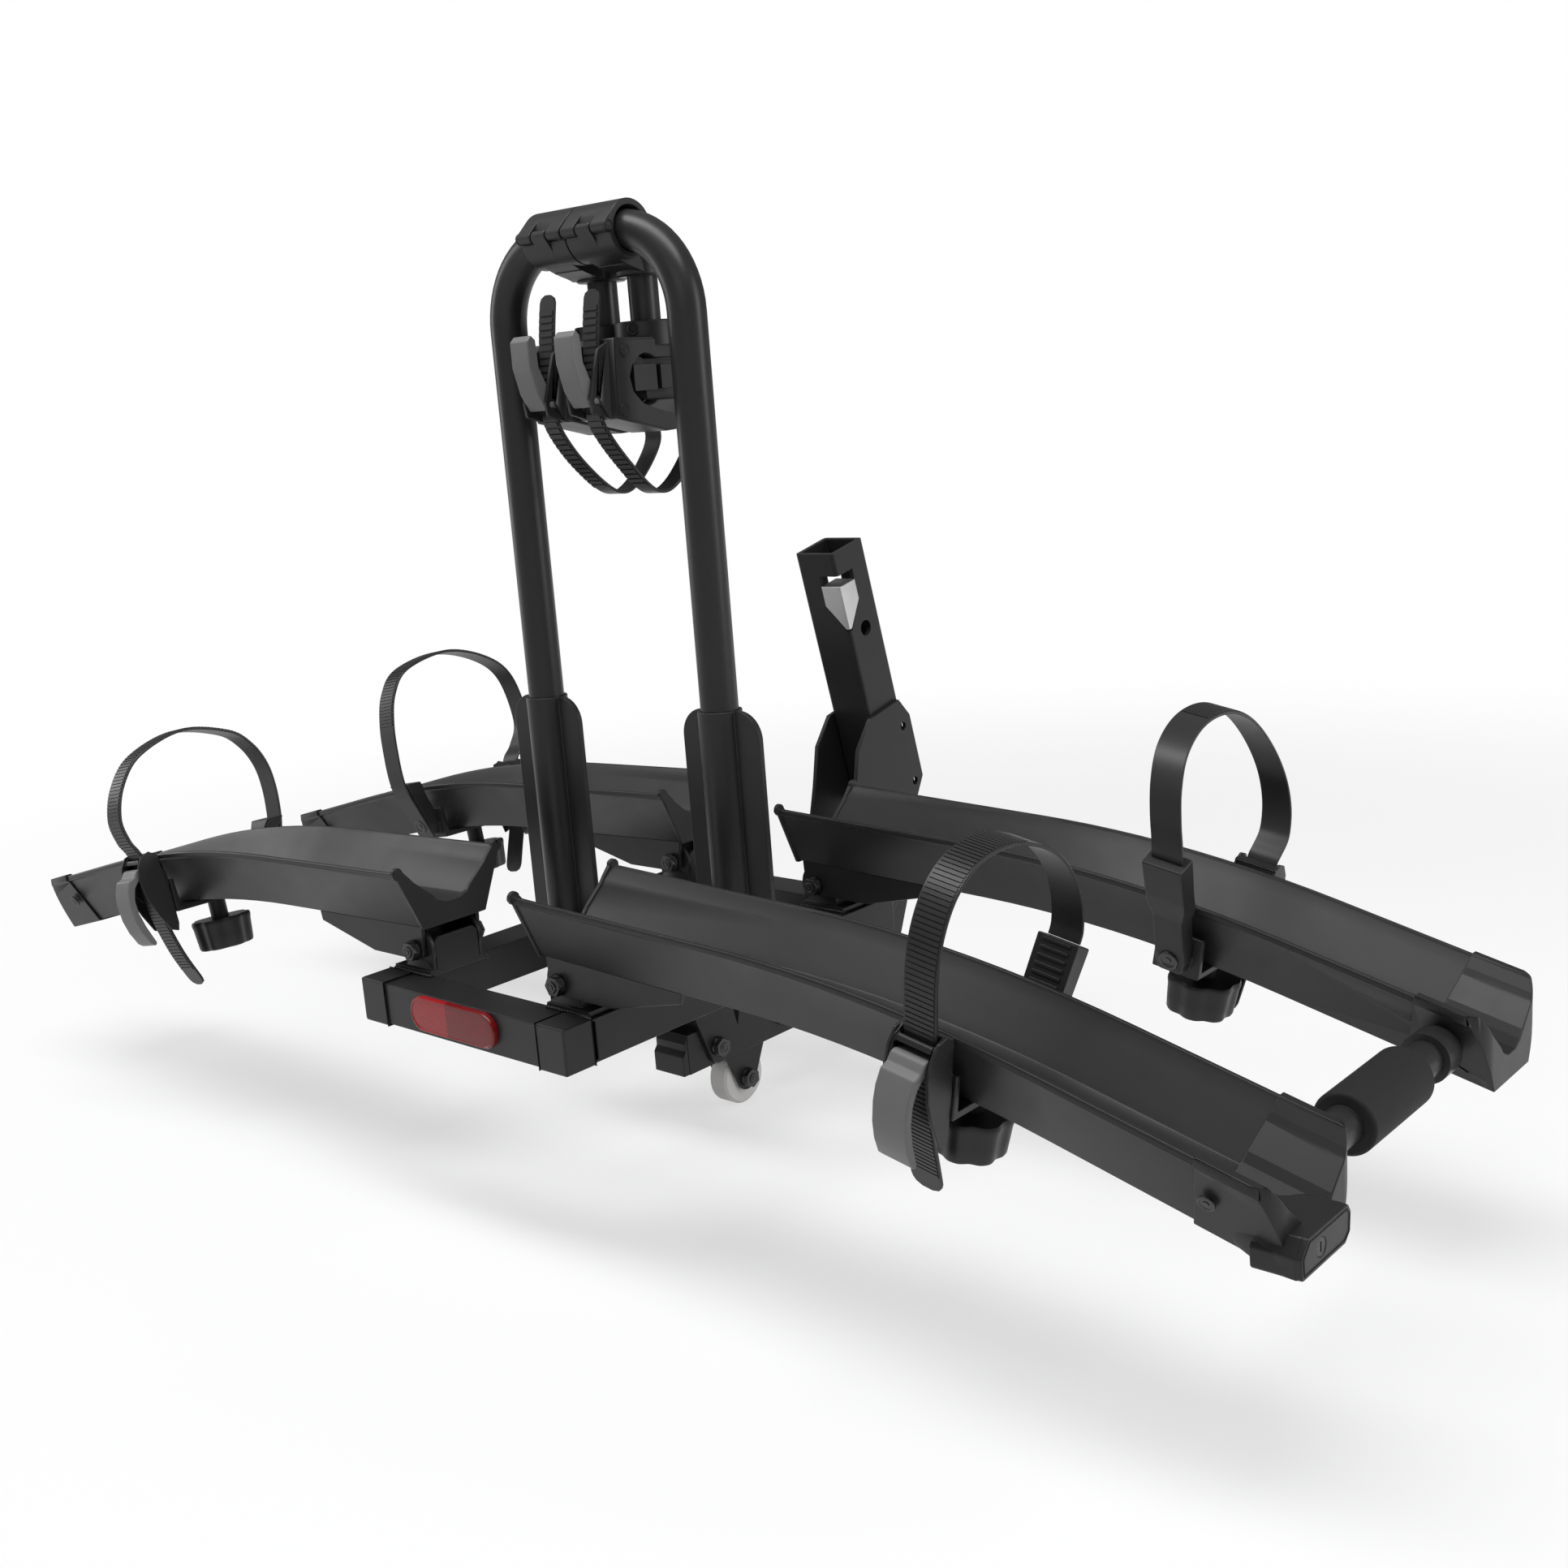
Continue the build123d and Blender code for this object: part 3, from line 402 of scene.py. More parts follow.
def ridges(tree, given):
    # small blocks in a row along a line, each across the line
    points = pointsAlong(tree, given)
    turn = tree.make("FunctionNodeAlignRotationToVector", {"axis": "Y", "pivot_axis": "X"},
                     Vector=points["Tangent"])
    size = tree.make("ShaderNodeCombineXYZ", X=given["Width"], Y=given["Thickness"], Z=given["Height"])
    block = tree.make("GeometryNodeMeshCube", Size=size.outputs[0])
    row = tree.make("GeometryNodeInstanceOnPoints", Points=points[0], Instance=block.outputs[0],
                    Rotation=turn.outputs[0])
    tree.end(row.outputs[0])


def screwHeads(tree, given):
    # on each point a low head with a rounded rim and a hexagon socket, turned to the point's own direction
    circle = tree.make("GeometryNodeCurvePrimitiveCircle", Resolution=18, Radius=given["Radius"])
    bulge = tree.make("GeometryNodeCurvePrimitiveCircle", Resolution=10, Radius=given["Bulge"])
    ring = tree.make("GeometryNodeCurveToMesh", Curve=circle.outputs[0], Profile_Curve=bulge.outputs[0])
    fan = {"fill_type": "TRIANGLE_FAN"}
    base = tree.make("GeometryNodeMeshCylinder", fan, Vertices=18, Radius=given["Radius"],
                     Depth=given["Bulge"])
    socket = tree.make("GeometryNodeMeshCylinder", fan, Vertices=6, Radius=given["Socket"],
                       Depth=given["Height"])
    both = tree.make("GeometryNodeJoinGeometry")
    for part in (ring, base, socket):
        tree.group.links.new(part.outputs[0], both.inputs[0])
    direction = tree.make("GeometryNodeInputNamedAttribute", {"data_type": "FLOAT_VECTOR"}, Name="direction")
    turn = tree.make("FunctionNodeAlignRotationToVector", {"axis": "Z"},
                     Vector=direction.outputs["Attribute"])
    row = tree.make("GeometryNodeInstanceOnPoints", Points=given["Base"], Instance=both.outputs[0],
                    Rotation=turn.outputs[0])
    tree.end(row.outputs[0])


def beads(tree, given):
    # overlapping beads of a weld along a line
    points = pointsAlong(tree, given)
    ball = tree.make("GeometryNodeMeshUVSphere", Segments=8, Rings=5, Radius=given["Radius"])
    row = tree.make("GeometryNodeInstanceOnPoints", Points=points[0], Instance=ball.outputs[0],
                    Rotation=points["Rotation"])
    tree.end(row.outputs[0])


ridgeRow = Tree("ridgeRow", ("Pitch", "Width", "Thickness", "Height"), ridges)
screwSet = Tree("screwSet", ("Radius", "Bulge", "Socket", "Height"), screwHeads)
weldBead = Tree("weldBead", ("Pitch", "Radius"), beads)


def lineMesh(points, closed=False):
    mesh = bpy.data.meshes.new("line")
    count = len(points)
    edges = [(i, i + 1) for i in range(count - 1)] + ([(count - 1, 0)] if closed else [])
    mesh.from_pydata([Vector(point) * mm for point in points], edges, [])
    return mesh


def spotMesh(spots):
    # points with a direction each, as (place, direction) pairs in millimetres
    mesh = bpy.data.meshes.new("spots")
    mesh.from_pydata([Vector(place) * mm for place, direction in spots], [], [])
    store = mesh.attributes.new("direction", "FLOAT_VECTOR", "POINT")
    for item, (place, direction) in zip(store.data, spots):
        item.vector = direction
    return mesh


def merged(name, *meshes):
    work = bmesh.new()
    for mesh in meshes:
        work.from_mesh(mesh)
    result = bpy.data.meshes.new(name)
    work.to_mesh(result)
    work.free()
    return result


def moved(mesh, matrix):
    mesh.transform(matrix)
    if matrix.determinant() < 0:
        mesh.flip_normals()
    return mesh


def loft(rings):
    # closed rings of points in millimetres, joined in order and closed at both ends
    work = bmesh.new()
    made = [[work.verts.new(Vector(point) * mm) for point in ring] for ring in rings]
    count = len(rings[0])
    for low, high in zip(made, made[1:]):
        for i in range(count):
            work.faces.new((low[i], low[(i + 1) % count], high[(i + 1) % count], high[i]))
    work.faces.new(made[0][::-1])
    work.faces.new(made[-1])
    bmesh.ops.recalc_face_normals(work, faces=work.faces)
    mesh = bpy.data.meshes.new("loft")
    work.to_mesh(mesh)
    work.free()
    return mesh


def prism(outline, halfWidth, middle=0.0):
    # a closed outline in the YZ plane given its width along X
    return loft([[(middle + x, y, z) for y, z in outline] for x in (-halfWidth, halfWidth)])


def turned(profile, steps=40):
    # (radius, height) pairs spun about the vertical axis
    angles = [2 * math.pi * i / steps for i in range(steps)]
    return loft([[(radius * math.cos(angle), radius * math.sin(angle), height) for angle in angles]
                 for radius, height in profile])


def smoothLine(points, steps):
    # a smooth line through the points
    line = []
    last = len(points) - 1
    for i in range(last):
        before, start, end, after = (Vector(points[min(max(k, 0), last)]) for k in range(i - 1, i + 3))
        for k in range(steps if i < last - 1 else steps + 1):
            t = k / steps
            line.append(start * (1 + t * t * (2 * t - 3)) + end * (t * t * (3 - 2 * t))
                        + (end - before) * (0.5 * t * (1 - t) ** 2)
                        - (after - start) * (0.5 * t * t * (1 - t)))
    return line


def lineNormals(line):
    normals = []
    for i in range(len(line)):
        along = (line[min(i + 1, len(line) - 1)] - line[max(i - 1, 0)]).normalized()
        normals.append(Vector((-along.y, along.x)))
    return normals


# what all straps share: points for each stretch, edge rounding, width left at the tip, least half width,
# how deep the teeth sit in the band, and how much of their pitch they fill
band = {"steps": 8, "edge": 0.5, "tipShare": 0.35, "leastHalf": 1.0, "toothSunk": 0.2, "toothShare": 0.7}


def strapBody(line, normals, size):
    # a flat band with rounded edges and a rounded far tip, seen along the tray
    reach = [0.0]
    for start, end in zip(line, line[1:]):
        reach.append(reach[-1] + (end - start).length)
    half = size["thickness"] / 2
    edge = band["edge"]
    rings = []
    for point, normal, along in zip(line, normals, reach):
        left = (reach[-1] - along) / size["tip"]
        narrow = 1.0 if left > 1 else math.sqrt(max(0.0, 1 - (1 - left) ** 2))
        share = band["tipShare"] + (1 - band["tipShare"]) * narrow
        wide = max(size["width"] / 2 * share, band["leastHalf"])
        section = [(-wide, half - edge), (-wide + edge, half), (wide - edge, half), (wide, half - edge),
                   (wide, edge - half), (wide - edge, -half), (edge - wide, -half), (-wide, edge - half)]
        rings.append([(x, *(point + normal * height)) for x, height in section])
    return loft(rings)


def toothedStrap(points, size):
    # the band, with its teeth on the outer side from tooth start to tooth end
    line = smoothLine(points, band["steps"])
    normals = lineNormals(line)
    first, last = (int(len(line) * size[end]) for end in ("teethFrom", "teethTo"))
    outer = (size["thickness"] / 2 + size["toothHeight"] / 2 - band["toothSunk"]) * size["outside"]
    middles = [(0, *(point + normal * outer)) for point, normal in zip(line[first:last], normals[first:last])]
    teeth = ridgeRow.grow(lineMesh(middles), "strap_plastic", {
        "Pitch": size["pitch"], "Width": size["width"] - size["margin"],
        "Thickness": size["pitch"] * band["toothShare"], "Height": size["toothHeight"]})
    return merged("strap", strapBody(line, normals, size), teeth)


# wheel straps: a smooth root at the holder, then fine teeth over the loop, through the buckle and to the tip
wheelStrap = {
    "width": 27.0, "thickness": 2.6, "tip": 11.0, "teethFrom": 0.3, "teethTo": 0.97, "pitch": 3.8,
    "margin": 3.0, "toothHeight": 0.9, "outside": -1,
    "loops": {
        "near_right": [(95.5, 21.7), (98, 32), (96, 52), (87, 74), (68, 95), (40, 109), (8, 116), (-26, 112),
                       (-52, 96), (-68, 72), (-75, 46), (-76, 24), (-74.6, 8), (-72.6, -4)],
        "far_right": [(99.5, 49.7), (101.6, 60), (102, 82), (96, 106), (80, 128), (52, 142), (18, 146.5),
                      (-18, 142), (-52, 127), (-80, 102), (-98, 74), (-102, 48), (-95, 26), (-82, 12.5),
                      (-74.4, 1)],
        "near_left": [(66, -58), (72.8, -42), (81.5, -20), (88, -4), (91.5, 14), (93, 42), (89.5, 68),
                      (77, 92), (54, 110), (2, 121), (-50, 105), (-76, 78), (-87.5, 46), (-84, 22),
                      (-77.6, 9.5), (-73.6, -2)],
        "far_left": [(66, -58), (72.8, -42), (81.5, -20), (88, -4), (91.5, 14), (91.5, 42), (88, 79),
                     (77, 113), (52, 138), (-8, 149), (-63, 133), (-94, 104), (-104, 50), (-91, 23),
                     (-77.6, 9.5), (-73.6, -2)],
    },
    "buckle": [(-71.3, -30), (-69, -54)],
    "tail": [(-62.5, -76), (-54, -98), (-43.5, -126)],
    "longTail": [(-64, -78), (-55, -108), (-40.5, -142)],
    # how far the right loops lean towards the mast, and the height at which their holders let go
    "lean": {"near_right": (0.17, 26.0), "far_right": (0.32, 54.0)},
    # the height at which the buckle lets go, the width over which the two heights meet, and how
    # gently the lean starts
    "leanFoot": 10.0, "leanSpan": 200.0, "leanEase": 20.0,
}


def leaned(mesh, lean, holderTop, size):
    # each foot of the loop stays upright up to its own height, and the loop bends over from there
    for vertex in mesh.vertices:
        share = min(max(vertex.co.y / (size["leanSpan"] * mm) + 0.5, 0), 1)
        free = size["leanFoot"] + share * (holderTop - size["leanFoot"])
        rise = max(0, vertex.co.z - free * mm)
        vertex.co.x -= lean * rise * rise / (rise + size["leanEase"] * mm)
    return mesh


for corner, loop in wheelStrap["loops"].items():
    route = loop + wheelStrap["buckle"] + wheelStrap["longTail" if corner == "near_left" else "tail"]
    strap = toothedStrap(route, wheelStrap)
    if corner in wheelStrap["lean"]:
        strap = leaned(strap, *wheelStrap["lean"][corner], wheelStrap)
    strap = moved(strap, trayMatrix(corner))
    piece = addPiece("wheelStrap_" + corner, strap, "strap_plastic", "carriage_" + corner, "strap_" + corner)
    roundEdges(piece, 0)
print("wheel straps ready")

# frame straps under the heads, with coarser teeth
armStrap = {
    "width": 20.0, "thickness": 2.6, "tip": 8.0, "teethFrom": 0.44, "teethTo": 0.96, "pitch": 6.0,
    "margin": 3.0, "toothHeight": 1.3, "outside": 1,
    "sides": {"left": (-28.4, 43.0), "right": (29.0, 38.0)},  # x of each arm, and y of its post
    "bottom": 680.0,  # height of the head's lower end
    "shell": 28.05,  # from the post to the back of the shell
    "behind": [(0, 36), (14, 4), (17, -20)],  # from the back of the shell
    "under": [(16, -54), (-12, -60)],  # from the post
    "front": [(-6, -32), (-31, 0), (-33.5, 20), (-31.5, 45), (-29, 80), (-23, 116)],
}
for side, (armX, postY) in armStrap["sides"].items():
    back = postY + armStrap["shell"] + armStrap["thickness"] / 2
    route = [(back + y, z) for y, z in armStrap["behind"]] + [(postY + y, z) for y, z in armStrap["under"]]
    route = [(y, z + armStrap["bottom"]) for y, z in route + armStrap["front"]]
    strap = moved(toothedStrap(route, armStrap), shift @ Matrix.Translation((armX * mm, 0, 0)))
    piece = addPiece("frameStrap_" + side, strap, "strap_plastic", "arm_" + side, "arm_strap_" + side)
    roundEdges(piece, 0)
print("frame straps ready")

# plate, screws and lock block on the outer side of each head
headPlate = {
    "outline": [(-26, 72), (-1, 72), (-1, 66), (-22, 63), (-36, 58), (-45, 50), (-49, 41), (-46, 28),
                (-36, 18), (-24, 13), (6, 5), (27, 2), (27, -4.5), (-8, -6.5), (-66, 7.5), (-63, 72)],
    "proud": 0.8, "half": 23.5,
    "blocks": [((-41, -13, 28, 51), 15.5), ((-9, 11, 29, 50), 16.5)], "blockHalf": 6,
    "ring": [(28.4, 66), (28.8, 66.6), (28.8, 86.4), (28.0, 88.2)],
    "screws": [((24.5, -52.5, 62.6), (1, 0, 0)), ((24.5, -59, 13), (1, 0, 0)),
               ((10.5, -26.8, 81), (0.37, -0.93, 0))],
    "screw": {"Radius": 4.8, "Bulge": 0.9, "Socket": 2.2, "Height": 1.6}, "rounding": 0.5,
}


def rectangle(front, back, low, high):
    return [(front, low), (back, low), (back, high), (front, high)]


def mirrored(spots, side):
    # spots given for the right arm, turned over where the side is -1
    return [((side * x, y, z), (side * across, along, up)) for (x, y, z), (across, along, up) in spots]


for side, (armX, postY) in armStrap["sides"].items():
    out = 1 if side == "right" else -1
    parts = [prism(headPlate["outline"], headPlate["proud"], out * headPlate["half"])]
    for block, x in headPlate["blocks"]:
        parts.append(prism(rectangle(*block), headPlate["blockHalf"], out * x))
    parts.append(turned(headPlate["ring"]))
    spots = mirrored(headPlate["screws"], out)
    parts.append(screwSet.grow(spotMesh(spots), "black_plastic", headPlate["screw"]))
    place = shift @ Matrix.Translation((armX * mm, postY * mm, armStrap["bottom"] * mm))
    plate = moved(merged("headPlate", *parts), place)
    piece = addPiece("headPlate_" + side, plate, "black_plastic", "arm_" + side)
    roundEdges(piece, headPlate["rounding"])
print("head plates ready")

# ribs on the strap holders, on the side that faces the tyre, and the screw of each inner link
holderRibs = {
    "line": ((77.9, 21), (89.6, 50)), "drop": {"near_right": 28.0}, "slope": 7.0, "rounding": 0.6,
    "rib": {"Pitch": 5.4, "Width": 24.0, "Thickness": 2.6, "Height": 2.2},
}
linkScrew = {
    "onHolder": (0, 70.3, -45), "onStrap": (0, 73.4, -43), "facing": (0, 0.949, -0.316),
    "screw": {"Radius": 7.2, "Bulge": 1.5, "Socket": 3.2, "Height": 2.6},
}
for corner in corners:
    spot = linkScrew["onStrap"]
    if corner not in bareLinks:
        spot = linkScrew["onHolder"]
        drop = holderRibs["drop"].get(corner, 0)
        line = [(0, y - drop / holderRibs["slope"], z - drop) for y, z in holderRibs["line"]]
        ribs = moved(ridgeRow.grow(lineMesh(line), "black_plastic", holderRibs["rib"]), trayMatrix(corner))
        piece = addPiece("holderRibs_" + corner, ribs, "black_plastic", "carriage_" + corner)
        roundEdges(piece, holderRibs["rounding"])
    screw = screwSet.grow(spotMesh([(spot, linkScrew["facing"])]), "zinc_steel", linkScrew["screw"])
    screw = moved(screw, trayMatrix(corner))
    piece = addPiece("linkScrew_" + corner, screw, "zinc_steel", "carriage_" + corner)
    roundEdges(piece, 0)
print("holder ribs and link screws ready")

# curved levers of the wheel clamps, and the side plates of their buckles
wheelLever = {
    "outline": [(-76.6, -9.4), (-80, -8.8), (-83, -8.4), (-86, -9.8), (-88, -13), (-89.5, -15.6),
                (-96, -18.4), (-100, -30), (-101, -42), (-99.5, -58), (-95.5, -72), (-89, -85), (-84, -89),
                (-82, -86), (-89, -68), (-93.5, -52), (-94, -38), (-91, -27), (-86, -21), (-79, -19.2),
                (-75.6, -16.4), (-75.2, -11)],
    "half": 14.4, "rounding": 1.4, "segments": 3,
    "pin": [(3.0, -19), (3.0, 19)], "pinY": -80.0, "pinZ": -14.0,
}
buckle = {
    "outline": [(-61, 0), (-70, 7), (-79, 4), (-85, -6), (-87, -20), (-84, -38), (-76, -58), (-66, -77),
                (-58, -80), (-56, -72), (-57, -40), (-61, -16)],
    "half": 1.3, "x": 17.8, "rounding": 0.8,
}
sideways = Matrix.Rotation(math.pi / 2, 4, "Y")
pinPlace = Matrix.Translation((0, wheelLever["pinY"] * mm, wheelLever["pinZ"] * mm)) @ sideways
for corner in corners:
    pin = moved(turned(wheelLever["pin"]), pinPlace)
    lever = moved(merged("lever", prism(wheelLever["outline"], wheelLever["half"]), pin), trayMatrix(corner))
    node = "lever_" + corner
    piece = addPiece("wheelLever_" + corner, lever, "grey_plastic", bodyOf[node], node)
    roundEdges(piece, wheelLever["rounding"], wheelLever["segments"])
    sides = [prism(buckle["outline"], buckle["half"], x) for x in (-buckle["x"], buckle["x"])]
    sides = moved(merged("sides", *sides), trayMatrix(corner))
    piece = addPiece("buckleSides_" + corner, sides, "black_plastic", "carriage_" + corner)
    roundEdges(piece, buckle["rounding"])
print("levers and buckles ready")

# knobs with a scalloped grip and a wider flange
handKnob = {
    "grip": [(24.5, -112), (27.0, -111.2), (28.2, -109), (29.2, -98), (30.0, -88), (30.8, -84.4), (30.9, -82),
             (29.8, -80)],
    "hub": [(9, -84), (9, -61.6)], "stem": [(5, -64), (5, -54.4)],
    "lobes": 7, "depth": 0.1, "narrow": 1.6, "steps": 126, "corner": 40,
}


def scallopedGrip(size):
    rings = []
    angles = [2 * math.pi * i / size["steps"] for i in range(size["steps"])]
    for radius, height in size["grip"]:
        ring = []
        for angle in angles:
            hollow = (0.5 + 0.5 * math.cos(size["lobes"] * angle)) ** size["narrow"]
            reach = radius * (1 - size["depth"] * hollow)
            ring.append((reach * math.cos(angle), reach * math.sin(angle), height))
        rings.append(ring)
    return loft(rings)


for corner in corners:
    shape = merged("knob", scallopedGrip(handKnob), turned(handKnob["hub"]), turned(handKnob["stem"]))
    shape = moved(shape, trayMatrix(corner))
    node = "knob_" + corner
    piece = addPiece("handKnob_" + corner, shape, "black_plastic", bodyOf[node], node)
    roundEdges(piece, 0, corner=handKnob["corner"])
print("knobs ready")

# bolt ends in the nuts of the frame: on the beam plates, on the wheel's axle and on the tray pivots
boltEnds = {
    "beam": [(33.0, 31.9, 127.7), (33.0, 54.7, 78.6), (33.0, 150.0, 80.0), (33.0, 262.0, 80.0),
             (33.0, 262.0, 128.0), (24.5, 101.2, 28.5)],
    "pivot": (97.4, 41.5, 231.3),
    "bolt": {"Radius": 4.4, "Bulge": 0.9, "Socket": 2.4, "Height": 2.0},
}
spots = []
for out in (-1, 1):
    spots += [((out * x, y, z), (out, 0, 0)) for x, y, z in boltEnds["beam"]]
    x, reach, z = boltEnds["pivot"]
    for row in (-1, 1):
        spots += [((out * x, row * trayShape["row"] + face * reach, z), (0, face, 0)) for face in (-1, 1)]
ends = moved(screwSet.grow(spotMesh(spots), "zinc_steel", boltEnds["bolt"]), shift)
piece = addPiece("boltEnds", ends, "zinc_steel", "frame")
roundEdges(piece, 0)

# screws of the tray caps, which the right caps have on their outer faces only
capScrews = {
    "x": 701.0, "y": 51.2, "z": 200.0, "normal": (0.0, 0.915, -0.4),
    "screw": {"Radius": 5.2, "Bulge": 1.2, "Socket": 2.4, "Height": 2.2},
}
for corner, (side, row) in corners.items():
    across, along, up = capScrews["normal"]
    spots = []
    for face in (-1, 1):
        if side < 0 or face == row:
            y = row * trayShape["row"] + face * capScrews["y"]
            spots.append(((side * capScrews["x"], y, capScrews["z"]), (across, face * along, up)))
    heads = moved(screwSet.grow(spotMesh(spots), "zinc_steel", capScrews["screw"]), shift)
    piece = addPiece("capScrews_" + corner, heads, "zinc_steel", bodyOf["tray_cap_" + corner])
    roundEdges(piece, 0)
print("bolt ends and cap screws ready")

# welds where the feet, the beam plates and the legs of the mast meet the tubes
welds = {
    "bead": {"Pitch": 3.2, "Radius": 2.2}, "corner": 80,
    "foot": {"x": (80, 130), "half": 33, "z": 209.0},
    "plate": {"x": 25.5, "y": (22, 260), "z": 170},
    "leg": {"x": 116.3, "y": 2, "z": 208.0, "halfX": 47, "halfY": 4.2, "steps": 24},
}


def weldLines(foot, plate, leg):
    lines = []
    turns = [2 * math.pi * i / leg["steps"] for i in range(leg["steps"] + 1)]
    for out in (-1, 1):
        for row in (-1, 1):
            for face in (-1, 1):
                y = row * trayShape["row"] + face * foot["half"]
                lines.append([(out * x, y, foot["z"]) for x in foot["x"]])
        lines.append([(out * plate["x"], y, plate["z"]) for y in plate["y"]])
        x = out * leg["x"]
        lines.append([(x + leg["halfX"] * math.cos(turn), leg["y"] + leg["halfY"] * math.sin(turn), leg["z"])
                      for turn in turns])
    return lines


beadRows = [weldBead.grow(lineMesh(line), "powder_coat", welds["bead"])
            for line in weldLines(welds["foot"], welds["plate"], welds["leg"])]
piece = addPiece("welds", moved(merged("welds", *beadRows), shift), "powder_coat", "frame")
roundEdges(piece, 0, corner=welds["corner"])
print("welds ready")

# webs that close the feet on the side towards the middle
footWeb = {
    "outline": [(-24.4, 212), (24.4, 212), (24.4, 238), (20, 242.5), (-20, 242.5), (-24.4, 238)],
    "x": 81.0, "half": 2.0, "rounding": 0.8,
}
plates = []
for side, row in corners.values():
    web = prism(footWeb["outline"], footWeb["half"], side * footWeb["x"])
    plates.append(moved(web, Matrix.Translation((0, row * trayShape["row"] * mm, 0))))
piece = addPiece("footWebs", moved(merged("footWebs", *plates), shift), "powder_coat", "frame")
roundEdges(piece, footWeb["rounding"])
print("foot webs ready")

# flared saddles between the collars and the posts, and hinge leaves that run into the shells
saddle = {
    # height, middle behind the post, half depth, half width
    "rings": [(806.5, 0, 19.2, 19.2), (808, 0, 21.2, 21.2), (815, 0, 21.6, 21.6), (820, -1, 22.4, 22.6),
              (825, -4, 22.6, 24.4), (830, -9, 21, 26), (835, -16, 17, 27.2), (840, -24, 11, 27.6)],
    "square": 2.6, "steps": 48, "rounding": 0.4,
    "fairing": [(-8, 821), (0, 817), (8, 814), (18, 811), (24, 808.4), (43, 808.4), (43, 835.6), (2, 835.6)],
    "fairingHalf": 17.8,
    "upper": [(-29.3, 847), (-28.0, 849.6), (-15.5, 861.8), (-13.5, 859.5), (-24.5, 846)],
    "lower": [(-29.4, 844.6), (-28.5, 843), (-18.0, 829.0), (-15.0, 831), (-24.5, 846)],
    "leaves": {-19.0: "upper", 0.0: "lower", 19.0: "upper"}, "leafHalf": 8.6,
    "pin": ((28.2, -24.5, 846.0), (1, 0, 0)),
    "pinHead": {"Radius": 4.0, "Bulge": 1.2, "Socket": 1.8, "Height": 2.0},
}


def saddleShape(size, postY):
    rings = []
    angles = [2 * math.pi * i / size["steps"] for i in range(size["steps"])]
    for height, middle, depth, wide in size["rings"]:
        ring = []
        for angle in angles:
            across, along = math.cos(angle), math.sin(angle)
            reach = (abs(across) ** size["square"] + abs(along) ** size["square"]) ** (-1 / size["square"])
            ring.append((wide * reach * across, postY + middle + depth * reach * along, height))
        rings.append(ring)
    return loft(rings)


for side, (armX, postY) in armStrap["sides"].items():
    parts = [saddleShape(saddle, postY), prism(saddle["fairing"], saddle["fairingHalf"])]
    parts += [prism(saddle[leaf], saddle["leafHalf"], x) for x, leaf in saddle["leaves"].items()]
    spots = mirrored([saddle["pin"]], 1 if side == "right" else -1)
    parts.append(screwSet.grow(spotMesh(spots), "cast_collar", saddle["pinHead"]))
    place = shift @ Matrix.Translation((armX * mm, 0, 0))
    piece = addPiece("saddle_" + side, moved(merged("saddle", *parts), place), "cast_collar", "arm_" + side)
    roundEdges(piece, saddle["rounding"])
print("saddles ready")

# shroud that runs from the near right cap into the lock housing, and the line around its face
lockShroud = {
    "rings": [(702, [(-33, 174), (-35.5, 180), (-36, 184), (-20, 184), (0, 184), (0, 180), (-5, 174)]),
              (714, [(-37.5, 168.6), (-40.5, 177), (-40.5, 185), (-20, 186), (6, 186), (8, 180), (2, 168.6)]),
              (728, [(-42, 165.2), (-45, 177), (-43, 187), (-20, 187.4), (12, 187.4), (16, 180), (9, 165.2)]),
              (744, [(-45.6, 162.4), (-47.4, 177), (-40, 187.6), (-20, 187.6), (17, 187.6), (21, 181),
                     (13, 162.4)]),
              (757, [(-46.2, 161.8), (-47.3, 177), (-37.4, 187.4), (-20, 187.4), (18, 187.4), (22.2, 181),
                     (14, 161.8)])],
    "rounding": 1.6, "face": 760.1,
    "line": [(-43, 165), (-44.2, 176), (-36, 184.2), (16, 184.2), (19, 180.4), (18, 169), (12, 165)],
    "bead": {"Pitch": 0.9, "Radius": 0.6}, "corner": 80,
}
rowY = corners["near_right"][1] * trayShape["row"]
rings = [[(x, rowY + y, z) for y, z in ring] for x, ring in lockShroud["rings"]]
piece = addPiece("lockShroud", moved(loft(rings), shift), "black_plastic", "right_trays")
roundEdges(piece, lockShroud["rounding"])
faceLine = lineMesh([(lockShroud["face"], rowY + y, z) for y, z in lockShroud["line"]], closed=True)
faceBead = moved(weldBead.grow(faceLine, "black_plastic", lockShroud["bead"]), shift)
piece = addPiece("lockFaceLine", faceBead, "black_plastic", "right_trays")
roundEdges(piece, 0, corner=lockShroud["corner"])
print("lock shroud ready")

# reflector: a domed lens with a raised rim, in layers of (y, inset) pairs
lens = {
    "middle": -5.0, "length": 114.0, "height": 32.0, "z": 191.0, "steps": 14, "corner": 35,
    "layers": [(-231.0, 0.0), (-235.0, 0.0), (-236.0, 0.6), (-236.3, 1.6), (-235.6, 2.4), (-235.9, 8.0)],
}


def stadium(y, inset, size):
    turn = size["height"] / 2 - inset
    reach = (size["length"] - size["height"]) / 2
    ring = []
    for half in (1, -1):
        for step in range(size["steps"] + 1):
            angle = math.radians(half * 90 - 180 * step / size["steps"])
            x = size["middle"] + half * reach + turn * math.cos(angle)
            ring.append((x, y, size["z"] + turn * math.sin(angle)))
    return ring


dome = moved(loft([stadium(y, inset, lens) for y, inset in lens["layers"]]), shift)
piece = addPiece("reflectorLens", dome, "red_reflector", "frame", "reflector")
roundEdges(piece, 0, corner=lens["corner"])
print("reflector ready")

